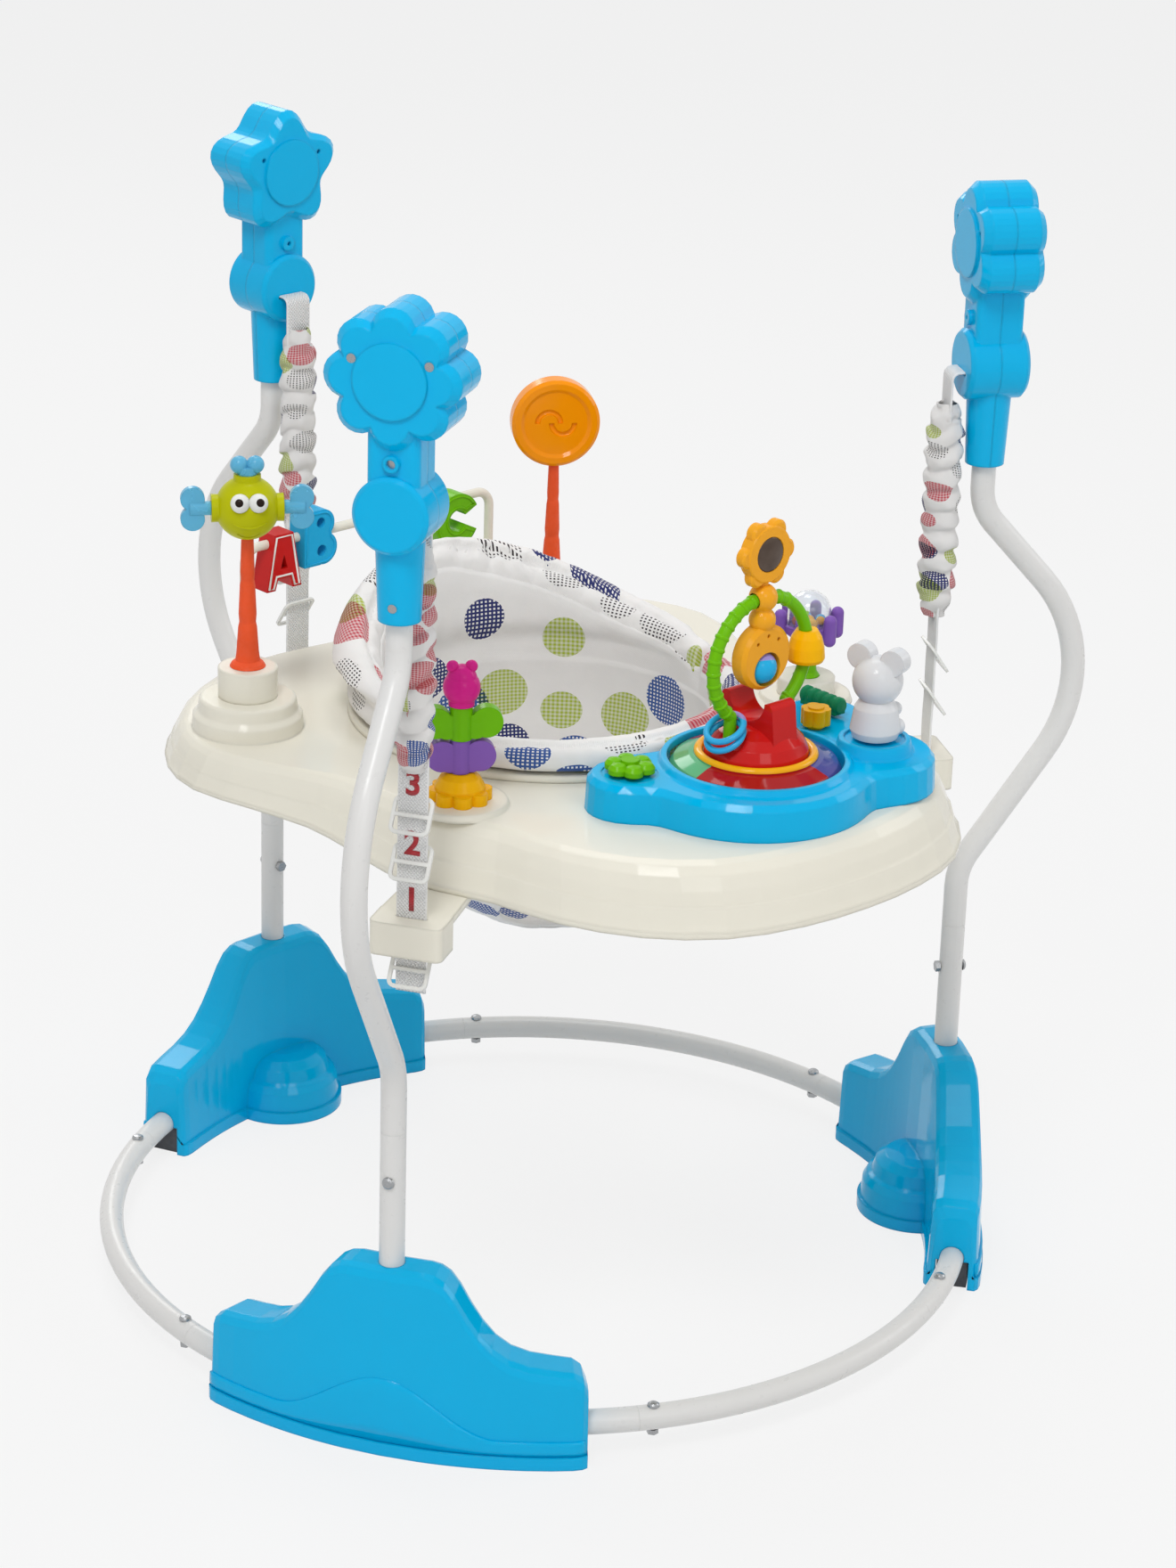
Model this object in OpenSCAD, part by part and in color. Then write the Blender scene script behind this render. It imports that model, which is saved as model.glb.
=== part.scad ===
// Baby jumper: three-post frame, sprung play tray, turning seat and toys.
// All sizes in millimetres. The child faces -Y, the floor is z = 0.

/* [Frame] */
// radius of the base ring to the tube centre line
ring_r = 360; // [340:1:390]
// outside diameter of the frame tubes
tube_d = 20; // [17:0.5:23]
// wall of the outer tubes
tube_wall = 1; // [0.9:0.1:1.3]
// wall of the tubes that carry a reduced end
plug_wall = 2; // [1.8:0.1:2.6]
// height of the base ring tube centre
tube_z = 29; // [27:1:34]
// angle from a post to the ring joints beside it
joint_a = 31; // [30:0.5:36]
// length of a reduced end on the ring
ring_plug_l = 26; // [20:1:34]
// length of a reduced end on a post
post_plug_l = 60; // [50:1:70]
// height of the seam between lower and upper post
seam_z = 270; // [255:1:290]
// height where the upper post starts to bow
bow_z = 305; // [300:1:315]
// how far the posts bow outward
bow_out = 90; // [80:1:100]
// bend angle below the bow
bow_low_a = 34; // [32:1:38]
// bend angle above the bow
bow_top_a = 42; // [39:1:45]
// radius of the bend below the bow
bend_low_r = 55; // [48:1:62]
// radius of the bow itself
bow_r = 125; // [110:1:135]
// radius of the bend above the bow
bend_top_r = 45; // [40:1:52]
// diameter of the frame bolts
bolt_d = 5; // [4:0.5:6]
// diameter of a bolt head
bolt_head_d = 10; // [8:0.5:12]
// height of a bolt head
bolt_head_h = 3; // [2:0.5:4]
// nut size over its corners
nut_d = 9.5; // [8:0.5:11]
// nut height
nut_h = 4; // [3:0.5:5]
// distance of the post bolts below the seam
bolt_drop = 40; // [30:1:46]

/* [Feet] */
// half of the angle that a foot spans
foot_a = 24.5; // [22:0.5:27]
// width of a foot at the floor
foot_w = 44; // [40:1:52]
// width of a foot at its top
foot_top_w = 36; // [33:1:40]
// height of a foot at the post
foot_h = 158; // [145:1:175]
// height of a foot at its ends
foot_end_h = 80; // [72:1:90]
// rounding of the top edges of a foot
foot_edge = 8; // [5:1:10]
// width of the lip round the floor edge
foot_lip = 2.5; // [2:0.5:4]
// height of that lip
foot_lip_h = 11; // [8:1:14]
// wall of a foot cover
foot_wall = 3.5; // [3:0.5:4.5]
// radius of the inner stabiliser
lobe_r = 50; // [44:1:56]
// height of the inner stabiliser
lobe_h = 54; // [48:1:60]
// distance of the stabiliser centre inside the ring
lobe_in = 17; // [12:1:22]
// angle from the post to a rubber pad
pad_a = 22; // [20:0.5:23]
// angle that a rubber pad spans
pad_span = 3.6; // [3:0.2:4]
// width of a rubber pad
pad_w = 26; // [22:1:30]

/* [Heads] */
// distance of the head socket above the bow
socket_rise = 22; // [16:1:30]
// length of the tapered socket
socket_l = 64; // [56:1:70]
// diameter of the socket at its low end
socket_low_d = 32; // [31:0.5:33]
// diameter of the socket at its top end
socket_top_d = 37; // [36:0.5:38]
// diameter of the drum boss that lets the strap out
boss_d = 58; // [54:1:64]
// depth of the drum boss from face to face
boss_depth = 50; // [46:1:56]
// height of the boss centre above the socket end
boss_rise = 84; // [80:1:92]
// width and depth of the neck
neck_w = 40; // [36:1:44]
// height of the head centre above the socket end
crown_rise = 184; // [176:1:195]
// outer radius of a head
crown_r = 52; // [48:1:56]
// depth of a head from face to face
crown_depth = 52; // [46:1:58]
// rounding of the head edges
crown_edge = 6; // [4:1:8]
// wall of the head shells
head_wall = 3; // [2.5:0.5:4]
// diameter of the raised round face on a head
face_d = 56; // [48:1:60]
// height of that raised face
face_h = 2; // [1:0.5:3]
// diameter of the head screws
screw_d = 3.6; // [3:0.2:4]
// diameter of a screw head
screw_head_d = 6.8; // [6:0.2:8]
// depth of a screw head recess
screw_sink = 3; // [2:0.5:4]
// side offset of the two upper head screws
screw_x = 29; // [26:1:31]
// height of the upper screws above the head centre
screw_up = 14; // [10:1:18]

/* [Straps] */
// clearance between the sleeves and the head sockets
strap_gap = 0.5; // [0.5:0.1:3.5]
// width of the webbing
web_w = 24; // [22:0.5:24]
// thickness of the webbing
web_t = 2; // [1.5:0.5:2.5]
// drop of the strap slot below the boss centre
slot_drop = 6; // [3:1:9]
// outer diameter of the gathered sleeve
gather_d = 32; // [31:0.5:33]
// depth of the gathers
gather_deep = 2.6; // [2:0.2:3]
// number of gathers
gathers = 11; // [8:1:14]
// length of the gathered sleeve
gather_l = 182; // [170:1:195]
// drop of the sleeve top below the boss centre
gather_drop = 32; // [31:1:40]
// outer diameter of the coil spring
spring_d = 24; // [22:0.5:24]
// diameter of the spring wire
spring_wire = 2.6; // [2:0.2:3]
// number of curls
spring_turns = 10; // [8:1:12]
// room between sleeve end and spring end
spring_in = 16; // [12:1:20]
// thickness of the strap rings
loop_t = 2.2; // [2:0.1:2.6]
// width of the bars of a strap ring
loop_bar = 3; // [2.4:0.2:3.2]
// half length of a strap ring
loop_r = 15; // [13:0.5:17]
// tilt of the strap rings
loop_tilt = 56; // [50:1:58]
// spacing of the height marks on the webbing
mark_step = 38; // [34:1:42]
// length of the free strap end below the bracket
tail_l = 34; // [24:1:44]

/* [Tray] */
// height of the tray top
tray_z = 484; // [475:1:495]
// reach of the tray's front past the strap line
tray_out = 41; // [31:1:47]
// depth of the skirt in front
skirt_h = 52; // [46:1:54]
// slope of the skirt, outward run for each unit of drop
skirt_run = 0.62; // [0.5:0.02:0.7]
// wall of the tray shell
tray_wall = 3; // [2.5:0.5:3.5]
// radius of the hole for the seat
hole_r = 150.5; // [148:0.5:153]
// depth of the collar round that hole
hole_drop = 14; // [10:1:18]
// radius of the frame ring under the tray
under_r = 192; // [186:1:200]
// thickness of the frame ring and its arms
under_t = 6; // [5:1:8]
// width of a strap bracket
bracket_w = 58; // [52:1:64]
// height of a strap bracket
bracket_h = 27; // [24:1:30]
// length of a strap bracket along the radius
bracket_l = 34; // [32:1:38]
// width of the bracket arm at the tray
arm_w = 46; // [40:1:52]
// radius of the toy plinths
plinth_r = 38; // [36:1:40]
// height of one plinth step
plinth_h = 4; // [3:0.5:5]
// height of the fish plinth
fish_plinth_h = 26; // [22:1:30]
// radius of the stations on the rear lobes
rear_station_r = 246; // [242:1:248]
// radius of the stations above the front brackets
side_station_r = 218; // [216:1:222]
// angle of the lollipop station
lolly_a = 47.5; // [46:0.5:48]

/* [Seat] */
// radius of the seat flange
flange_r = 163; // [161:1:166]
// thickness of the seat flange
flange_t = 5; // [4:0.5:6]
// wall of the seat ring neck
neck_t = 5; // [4:0.5:6]
// inner radius of the padded rim
rim_in_r = 136; // [132:1:140]
// outer radius of the padded rim
rim_out_r = 167; // [164:1:170]
// height of the padded rim
rim_h = 28; // [25:1:32]
// height of the seat back above the flange
back_h = 106; // [98:1:114]
// outer radius of the seat back
back_r = 180; // [176:1:180]
// angle that the seat back runs on past the half circle
back_a = 14; // [10:1:18]
// depth of the sling below the tray top
sling_h = 194; // [180:1:205]
// wall of the fabric sling
sling_t = 3; // [2:0.5:4]
// radius of a leg hole
leg_r = 44; // [40:1:48]
// half angle between the leg holes
leg_a = 38; // [36:1:42]

/* [Fish] */
// radius of a toy cup
cup_r = 24; // [22:1:26]
// height of a toy cup
cup_h = 25; // [22:1:28]
// height of the fish stalk
stalk_h = 110; // [100:1:118]
// diameter of the fish stalk at its foot
stalk_d = 18; // [16:1:20]
// radius of the fish body
fish_r = 25.5; // [23:0.5:28]
// direction that the fish looks in
fish_look = 236; // [220:1:250]
// reach of a side fin beyond the body
fin_l = 24; // [20:1:27]
// thickness of the fins
fin_t = 6; // [5:0.5:8]

/* [Wire arch] */
// diameter of the arch wire
wire_d = 8; // [7:0.5:9]
// half width of the arch
arch_x = 134; // [128:1:138]
// distance of the arch behind the centre
arch_y = 228; // [224:1:232]
// height of the arch bar above the tray
arch_h = 104; // [96:1:112]
// radius of the arch corners
arch_bend = 14; // [12:1:16]
// height of a letter
letter_h = 48; // [44:1:52]
// thickness of a letter
letter_t = 20; // [16:1:22]
// place of letter A along the bar
letter_a_x = -100; // [-101:1:-96]
// place of letter B along the bar
letter_b_x = -61; // [-62:1:-56]
// place of letter C along the bar
letter_c_x = 90; // [70:1:96]

/* [Lollipop] */
// radius of the lollipop disc
lolly_r = 38; // [34:1:42]
// thickness of the lollipop disc
lolly_t = 20; // [17:1:24]
// height of the disc centre above the cup
lolly_h = 138; // [130:1:146]
// diameter of the lollipop stalk at its foot
lolly_stalk_d = 16; // [14:1:18]

/* [Stack] */
// diameter of the stack pole
pole_d = 8; // [7:0.5:9]
// height of the yellow base dome
stack_dome_h = 22; // [20:1:25]
// radius of the yellow base dome
stack_dome_r = 25; // [23:1:27]
// height of the lower butterfly
stack_low_h = 27; // [25:1:30]
// height of the middle butterfly
stack_mid_h = 27; // [25:1:30]
// height of the top bee
stack_top_h = 36; // [33:1:39]
// half span of the lower wings
wing_low = 27; // [25:1:29]
// half span of the middle wings
wing_mid = 32; // [29:1:33]

/* [Panel] */
// height of the panel
panel_h = 29; // [27:1:31]
// rounding of the panel top edge
panel_edge = 5; // [4:1:6]
// wall of the panel
panel_wall = 4; // [3.5:0.5:4.5]
// clearance radius of the panel round the seat
panel_seat_r = 183; // [181:1:185]
// blend length between the panel lobes
panel_blend = 8; // [6:1:10]
// distance of the turntable from the centre
table_y = 240; // [238:1:242]
// radius of the turntable
table_r = 67; // [64:1:69]
// height of the turntable
table_h = 16; // [14:1:18]
// radius of the red cradle
cradle_r = 41; // [39:1:43]
// height of the red cradle dome
cradle_h = 26; // [24:1:28]
// height of the cradle horns above the dome foot
horn_h = 48; // [44:1:50]
// distance of the horns from the middle
horn_y = 22; // [20:1:24]
// radius of the flower button
flower_r = 20; // [18:1:21]
// radius of the yellow button
gift_r = 12; // [10:1:12]
// half length of the worm
worm_l = 24; // [22:1:26]
// travel of the press toys
press = 3; // [2:0.5:3.5]
// radius of the bear body
bear_r = 20; // [18:1:21]
// radius of the bear head
bear_head_r = 20; // [18:1:22]
// height of the raised ring that the bear stands in
bear_rise = 9; // [6:1:11]
// direction that the bear looks in
bear_look = 15; // [0:1:90]
// radius of a press toy stem
stem_r = 6; // [5:0.5:7]

/* [Rattle] */
// radius of the green loop
ring_loop_r = 50; // [48:1:52]
// wire diameter of the green loop
ring_loop_d = 10; // [9:0.5:11]
// height of the loop centre above the turntable
ring_loop_z = 76; // [74:1:80]
// half distance of the loop legs
loop_leg_x = 30; // [28:1:31]
// radius of the rattle body
rattle_r = 26; // [24:1:27]
// thickness of the rattle body
rattle_t = 16; // [14:1:18]
// radius of the rattle ball
ball_r = 13; // [12:0.5:13.5]
// radius of the sunflower
sun_r = 28; // [26:1:30]
// thickness of the sunflower
sun_t = 12; // [10:1:14]
// radius of the mirror
mirror_r = 14; // [12:1:15]
// radius of the sliding bead
bead_r = 15; // [13:1:16]
// radius of a link ring
link_r = 15; // [14:0.5:16]
// wire diameter of a link ring
link_d = 5; // [4.5:0.5:5.5]

/* [Spinner] */
// height of the spinner post above its cup
spin_post_h = 32; // [28:1:36]
// diameter of the spinner post
spin_post_d = 14; // [12:1:16]
// radius of the spinner bowl
spin_bowl_r = 22; // [20:1:24]
// number of finger petals
spin_petals = 6; // [5:1:8]
// radius of the clear dome
spin_dome_r = 18; // [16:1:19]
// radius of the loose balls
spin_ball_r = 4.5; // [4:0.5:5]

/* [Fits] */
// gap between parts that turn or slide past each other
part_gap = 0.3; // [0.2:0.1:0.5]
// radial fit of pins and plugs
slip = 0.06; // [0.03:0.01:0.1]
// gap that seats one part on another
seat_gap = 0.2; // [0.1:0.1:0.3]
// overrun of cuts
over = 1; // [0.5:0.5:2]

/* [Hidden] */
$fn = 48;
quarter = 90;
half_turn = 180;
full_turn = 360;
third = full_turn / 3;
post_as = [90, 210, 330];
tube_r = tube_d / 2;
tube_in_r = tube_r - tube_wall;
plug_in_r = tube_r - plug_wall;
plug_r = tube_in_r - slip;
notch_l = 2 * pad_span * ring_r * PI / half_turn;
ring_plug_a = ring_plug_l / ring_r * half_turn / PI;
low_run = (bow_out - (bend_low_r + bow_r) * (1 - cos(bow_low_a))) / sin(bow_low_a);
top_run = (bow_out - (bend_top_r + bow_r) * (1 - cos(bow_top_a))) / sin(bow_top_a);
bow_low_h = (bend_low_r + bow_r) * sin(bow_low_a) + low_run * cos(bow_low_a);
bow_top_h = (bend_top_r + bow_r) * sin(bow_top_a) + top_run * cos(bow_top_a);
socket_z = bow_z + bow_low_h + bow_top_h + socket_rise;
boss_z = socket_z + boss_rise;
boss_r = boss_d / 2;
boss_half = boss_depth / 2;
crown_z = socket_z + crown_rise;
crown_half = crown_depth / 2;
post_end_l = socket_rise + socket_l - head_wall;
shift_y = -bow_out / 2;
strap_in = max(socket_low_d, socket_top_d) / 2 + gather_d / 2 + strap_gap;
strap_r = ring_r - strap_in;
tray_r = strap_r + tray_out;
strap_y = -strap_in;
gather_top = boss_z - gather_drop;
gather_low = gather_top - gather_l;
spring_top = gather_top - spring_in;
spring_low = gather_low + spring_in;
hole_neck_r = hole_r - part_gap;
lip_z = tray_z - skirt_h;
under_z = lip_z - seat_gap - under_t;
bracket_z = under_z + under_t - bracket_h;
slot_t = web_t + part_gap * 2;
panel_z = tray_z + panel_h;
table_z = panel_z - table_h / 2;
table_top = table_z + table_h;
flange_z = tray_z + part_gap;
pad_z = flange_z + flange_t + seat_gap;
arch_z = tray_z + arch_h;
loop_z = table_top + ring_loop_z;

// foot: place along the foot, rise above its end height, width
foot_shares = [[0, 1, 1], [0.19, 1, 1], [0.24, 0.98, 1], [0.29, 0.92, 1], [0.34, 0.79, 1], [0.4, 0.58, 1],
  [0.46, 0.4, 1], [0.53, 0.24, 1], [0.61, 0.13, 1], [0.71, 0.06, 1], [0.83, 0.02, 1], [0.93, -0.01, 0.99],
  [0.975, -0.07, 0.94], [1, -0.18, 0.82]];
// stabiliser: radius and height of its stepped dome
lobe_shares = [[1, 0.2], [0.97, 0.5], [0.9, 0.62], [0.82, 0.66], [0.76, 0.84], [0.6, 0.96], [0.36, 1],
  [0, 1]];
// head kinds: lobes, petal radius, star swing, size, points for each lobe
crown_shares = [[5, 0, 0.13, 1, 12], [8, 0.33, 0, 1, 8], [6, 0.4, 0, 0.96, 10]];
// tray: lip radius and skirt depth each ten degrees from the rear to the front
lip_shares = [0.716, 0.731, 0.763, 0.8, 0.828, 0.845, 0.85, 0.824, 0.748, 0.686, 0.68, 0.714, 0.742, 0.775,
  0.866, 0.946, 0.994, 1.003, 1.003];
drop_shares = [1, 0.93, 0.8, 0.7, 0.64, 0.62, 0.62, 0.62, 0.66, 0.76, 0.88, 0.96, 1, 1, 1, 1, 1, 1, 1];
// skirt: outward and downward share of its outer face, then of its inner face
skirt_shares = [[0, 0], [0.22, 0.05], [0.42, 0.17], [0.58, 0.36], [0.7, 0.56], [0.76, 0.58], [0.88, 0.8],
  [0.95, 0.9], [1, 0.91], [1, 1]];
inner_shares = [[1, 1, 0], [0.95, 0.9, 0], [0.72, 0.6, 0.5], [0.42, 0.22, 1], [0.1, 0, 1]];
// seat rim: width and height of its inner side, then of its outer hem
rim_shares = [[0.14, 0], [0.03, 0.2], [0, 0.45], [0.06, 0.72], [0.18, 0.92], [0.36, 1], [0.52, 0.99]];
hem_shares = [[0.74, 0.88], [0.92, 0.66], [1, 0.4], [0.96, 0.16], [0.82, 0]];
// seat back: width and height of its inner side, then of the swell above the hem
back_shares = [[0.1, 0], [0.01, 0.1], [0, 0.28], [0.06, 0.55], [0.14, 0.8], [0.2, 0.93], [0.3, 1],
  [0.44, 1]];
swell_shares = [[0.6, 0.93], [0.84, 0.7], [1, 0.35]];
// share of the rise at which the back has swollen to its full width
swell_share = 0.4;
// seat back: rise of its top edge from an end to the middle
rise_shares = [0, 0.14, 0.26, 0.44, 0.67, 0.84, 0.95, 1];
// sling: radius and depth
sling_shares = [[1, 0], [0.99, 0.2], [0.95, 0.36], [0.84, 0.6], [0.66, 0.8], [0.4, 0.94], [0.16, 0.99],
  [0, 1]];
// panel lobes: x, distance in front of the centre, radius, as shares of the turntable distance
panel_shares = [[-0.388, 0.82, 0.142], [-0.02, 1, 0.392], [0.38, 1.163, 0.205], [0.49, 0.82, 0.15]];

function flat(l) = [for (a = l) for (b = a) b];
function mid4(a, b, c, d) = (9 * (b + c) - a - d) / 16;
function at(t, i) = t[i < 0 ? -i : i > len(t) - 1 ? 2 * (len(t) - 1) - i : i];
function fine(t) = [for (i = [0 : 2 * (len(t) - 1)]) i % 2 == 0 ? t[i / 2]
  : mid4(at(t, (i - 3) / 2), at(t, (i - 1) / 2), at(t, (i + 1) / 2), at(t, (i + 3) / 2))];
function mean(l, i = 0) = i == len(l) ? [0, 0, 0] : l[i] / len(l) + mean(l, i + 1);
function polar(r, a, z) = [r * cos(a), r * sin(a), z];

// closed sections in a row become one solid, with a fan of triangles at each end
module loft(secs, ring = false) {
  n = len(secs);
  m = len(secs[0]);
  last = ring ? n - 1 : n - 2;
  sides = [for (i = [0 : last]) for (j = [0 : m - 1]) for (k = [0, 1])
    let (p = i * m + j, q = i * m + (j + 1) % m, s = ((i + 1) % n) * m + j, t = ((i + 1) % n) * m
      + (j + 1) % m)
    k == 0 ? [p, q, t] : [p, t, s]];
  ends = ring ? [] : [for (j = [0 : m - 1]) for (k = [0, 1])
    k == 0 ? [n * m, (j + 1) % m, j] : [n * m + 1, (n - 1) * m + j, (n - 1) * m + (j + 1) % m]];
  caps = ring ? [] : [mean(secs[0]), mean(secs[n - 1])];
  polyhedron(concat(flat(secs), caps), concat(sides, ends));
}

module centred() {
  translate([0, shift_y, 0]) children();
}

module at_post(i) {
  rotate([0, 0, post_as[i] - quarter]) translate([0, ring_r, 0]) children();
}

module at_polar(r, a) {
  rotate([0, 0, a]) translate([r, 0, 0]) children();
}

module ring_2d(r_out, r_in) {
  difference() {
    circle(r = r_out);
    circle(r = r_in);
  }
}

module pipe(r_out, r_in, l) {
  linear_extrude(height = l) ring_2d(r_out, r_in);
}

module arc_pipe(r_path, r_out, r_in, from, sweep) {
  rotate([0, 0, from]) rotate_extrude(angle = sweep) translate([r_path, 0]) ring_2d(r_out, r_in);
}

module arc_rod(r_path, r, from, sweep) {
  rotate([0, 0, from]) rotate_extrude(angle = sweep) translate([r_path, 0]) circle(r = r);
}

// a profile drawn as (y, z) and given a width along x
module along_x(w) {
  rotate([quarter, 0, quarter]) linear_extrude(height = w, center = true) children();
}

module round_rect(w, d, r) {
  square([w, d - 2 * r], center = true);
  square([w - 2 * r, d], center = true);
  for (x = [-1, 1], y = [-1, 1]) translate([x * (w / 2 - r), y * (d / 2 - r)]) circle(r = r);
}

// a disc on the local y axis with bevelled rims
module bevel_disc(r, half, bevel) {
  rotate([quarter, 0, 0]) rotate_extrude() polygon([[0, -half], [r - bevel, -half], [r, bevel - half],
    [r, half - bevel], [r - bevel, half], [0, half]]);
}

// Base
module joint_bolts(r) {
  for (i = [0 : 2], s = [-1, 1])
    at_polar(ring_r, post_as[i] + s * (joint_a + ring_plug_a / 2))
      translate([0, 0, tube_z - tube_r - nut_h - over]) cylinder(r = r, h = tube_d + nut_h + over);
}

module post_bolts(r) {
  for (i = [0 : 2]) at_post(i) translate([0, 0, seam_z - bolt_drop]) rotate([quarter, 0, 0])
    cylinder(r = r, h = 2 * (tube_r + nut_h + over), center = true);
}

module base_tubes() {
  color("whitesmoke") centred() difference() {
    translate([0, 0, tube_z]) for (i = [0 : 2])
      arc_pipe(ring_r, tube_r, tube_in_r, post_as[i] + joint_a, third - 2 * joint_a);
    joint_bolts(bolt_d / 2 + slip);
  }
}

module foot_tubes() {
  color("whitesmoke") centred() difference() {
    translate([0, 0, tube_z]) for (i = [0 : 2]) {
      arc_rod(ring_r, tube_r, post_as[i] - joint_a, 2 * joint_a);
      arc_rod(ring_r, plug_r, post_as[i] - joint_a - ring_plug_a, 2 * (joint_a + ring_plug_a));
    }
    translate([0, 0, tube_z]) for (i = [0 : 2])
      arc_rod(ring_r, plug_in_r, post_as[i] - joint_a - ring_plug_a - over,
        2 * (joint_a + ring_plug_a + over));
    joint_bolts(bolt_d / 2 + slip);
  }
}

module foot_pads() {
  color("dimgray") centred() difference() {
    for (i = [0 : 2], s = [-1, 1]) rotate([0, 0, post_as[i] + s * pad_a - pad_span / 2])
      rotate_extrude(angle = pad_span) translate([ring_r - pad_w / 2, 0])
        square([pad_w, tube_z - tube_r / 2]);
    translate([0, 0, tube_z]) rotate_extrude() translate([ring_r, 0]) circle(r = tube_r + slip);
  }
}

function foot_sec(a, h, w) =
  let (b = foot_w / 2 * w, t = min(foot_top_w / 2 + (foot_h - h) / foot_h * (foot_w - foot_top_w) / 2, b)
    * w,
    e = foot_edge)
  [for (p = [[-b - foot_lip, 0], [-b - foot_lip, foot_lip_h], [-b, foot_lip_h], [-t, h - e],
    [-t + e * 0.3, h - e * 0.3], [-t + e, h], [t - e, h], [t - e * 0.3, h - e * 0.3], [t, h - e],
    [b, foot_lip_h], [b + foot_lip, foot_lip_h], [b + foot_lip, 0]]) polar(ring_r + p[0], a, p[1])];

module foot_form() {
  top = len(foot_shares) - 1;
  loft([for (i = [-top : top]) let (s = foot_shares[abs(i)])
    foot_sec(-sign(i) * s[0] * foot_a, foot_end_h + s[1] * (foot_h - foot_end_h), s[2])]);
  at_polar(ring_r - lobe_in, 0) rotate([0, 0, quarter]) rotate_extrude(angle = half_turn)
    polygon(concat([[0, 0], [lobe_r + foot_lip, 0],
    [lobe_r + foot_lip, foot_lip_h]], [for (s = lobe_shares) [lobe_r * s[0], lobe_h * s[1]]]));
}

module foot_hollow() {
  in_w = foot_top_w - 2 * foot_wall;
  low_w = foot_top_w - foot_wall;
  in_a = foot_a - foot_wall / ring_r * half_turn / PI * 3;
  rotate([0, 0, -in_a]) rotate_extrude(angle = 2 * in_a) translate([ring_r - low_w / 2, -over])
    square([low_w, foot_end_h * 0.82 - foot_wall + over]);
  at_polar(ring_r, 0) translate([0, 0, -over]) linear_extrude(height = foot_h - foot_wall * 2 + over)
    square([in_w, foot_shares[1][0] * 2 * foot_a * ring_r * PI / half_turn - foot_wall], center = true);
  at_polar(ring_r - lobe_in, 0) translate([0, 0, -over]) cylinder(r = lobe_r * 0.74 - foot_wall,
    h = lobe_h * 0.8 - foot_wall + over);
}

module foot_cover(i) {
  color("deepskyblue") centred() difference() {
    rotate([0, 0, post_as[i]]) foot_form();
    rotate([0, 0, post_as[i]]) foot_hollow();
    translate([0, 0, tube_z]) arc_rod(ring_r, tube_r + seat_gap, post_as[i] - joint_a, 2 * joint_a);
    for (s = [-1, 1]) at_polar(ring_r, post_as[i] + s * pad_a)
      translate([-pad_w / 2 - over, -notch_l / 2, -over])
        cube([pad_w + 2 * over, notch_l, tube_z - tube_r * 0.3 + over]);
    at_post(i) translate([0, 0, tube_z + tube_r * 0.4]) cylinder(r = tube_r + seat_gap, h = foot_h);
  }
}

module foot_cover_rear() {
  foot_cover(0);
}

module foot_cover_left() {
  foot_cover(1);
}

module foot_cover_right() {
  foot_cover(2);
}

// Posts
module lower_posts() {
  low = tube_z + tube_r * 0.4;
  color("white") centred() difference() {
    for (i = [0 : 2]) at_post(i) translate([0, 0, low]) pipe(tube_r, tube_in_r, seam_z - low);
    translate([0, 0, tube_z]) rotate_extrude() translate([ring_r, 0]) circle(r = tube_r + slip);
    post_bolts(bolt_d / 2 + slip);
  }
}

// a straight run laps a little over the bends beside it, which are drawn a hair thinner
module run(w, l, from, to) {
  translate([0, 0, -from]) cylinder(r = w, h = l + from + to);
  translate([0, 0, l]) children();
}

module bend(w, r, a) {
  rotate([quarter, 0, quarter]) translate([r, 0, 0]) rotate([0, 0, half_turn - a]) rotate_extrude(angle = a)
    translate([r, 0]) circle(r = w - slip);
  translate([0, r * (1 - cos(a)), r * sin(a)]) rotate([-a, 0, 0]) children();
}

module bend_back(w, r, a) {
  rotate([0, 0, half_turn]) bend(w, r, a) rotate([0, 0, half_turn]) children();
}

module bowed(w, low, top) {
  lap = over / 2;
  translate([0, 0, low]) run(w, bow_z - low, 0, lap) bend(w, bend_low_r, bow_low_a)
    run(w, low_run, lap, lap)
    bend_back(w, bow_r, bow_low_a + bow_top_a) run(w, top_run, lap, lap) bend(w, bend_top_r, bow_top_a)
      run(w, top, lap, 0);
}

module upper_posts() {
  color("white") centred() for (i = [0 : 2]) at_post(i) difference() {
    union() {
      bowed(tube_r, seam_z, post_end_l);
      translate([0, 0, seam_z - post_plug_l]) cylinder(r = plug_r, h = post_plug_l + over);
    }
    bowed(plug_in_r, seam_z - post_plug_l - over, post_end_l + over);
    translate([0, 0, seam_z - bolt_drop]) rotate([quarter, 0, 0])
      cylinder(r = bolt_d / 2 + slip, h = 2 * tube_d, center = true);
  }
}

module bolt_dome() {
  rotate_extrude() polygon([[0, 0], [bolt_head_d / 2, 0], [bolt_head_d * 0.46, bolt_head_h * 0.5],
    [bolt_head_d * 0.32, bolt_head_h * 0.85], [0, bolt_head_h]]);
}

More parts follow.
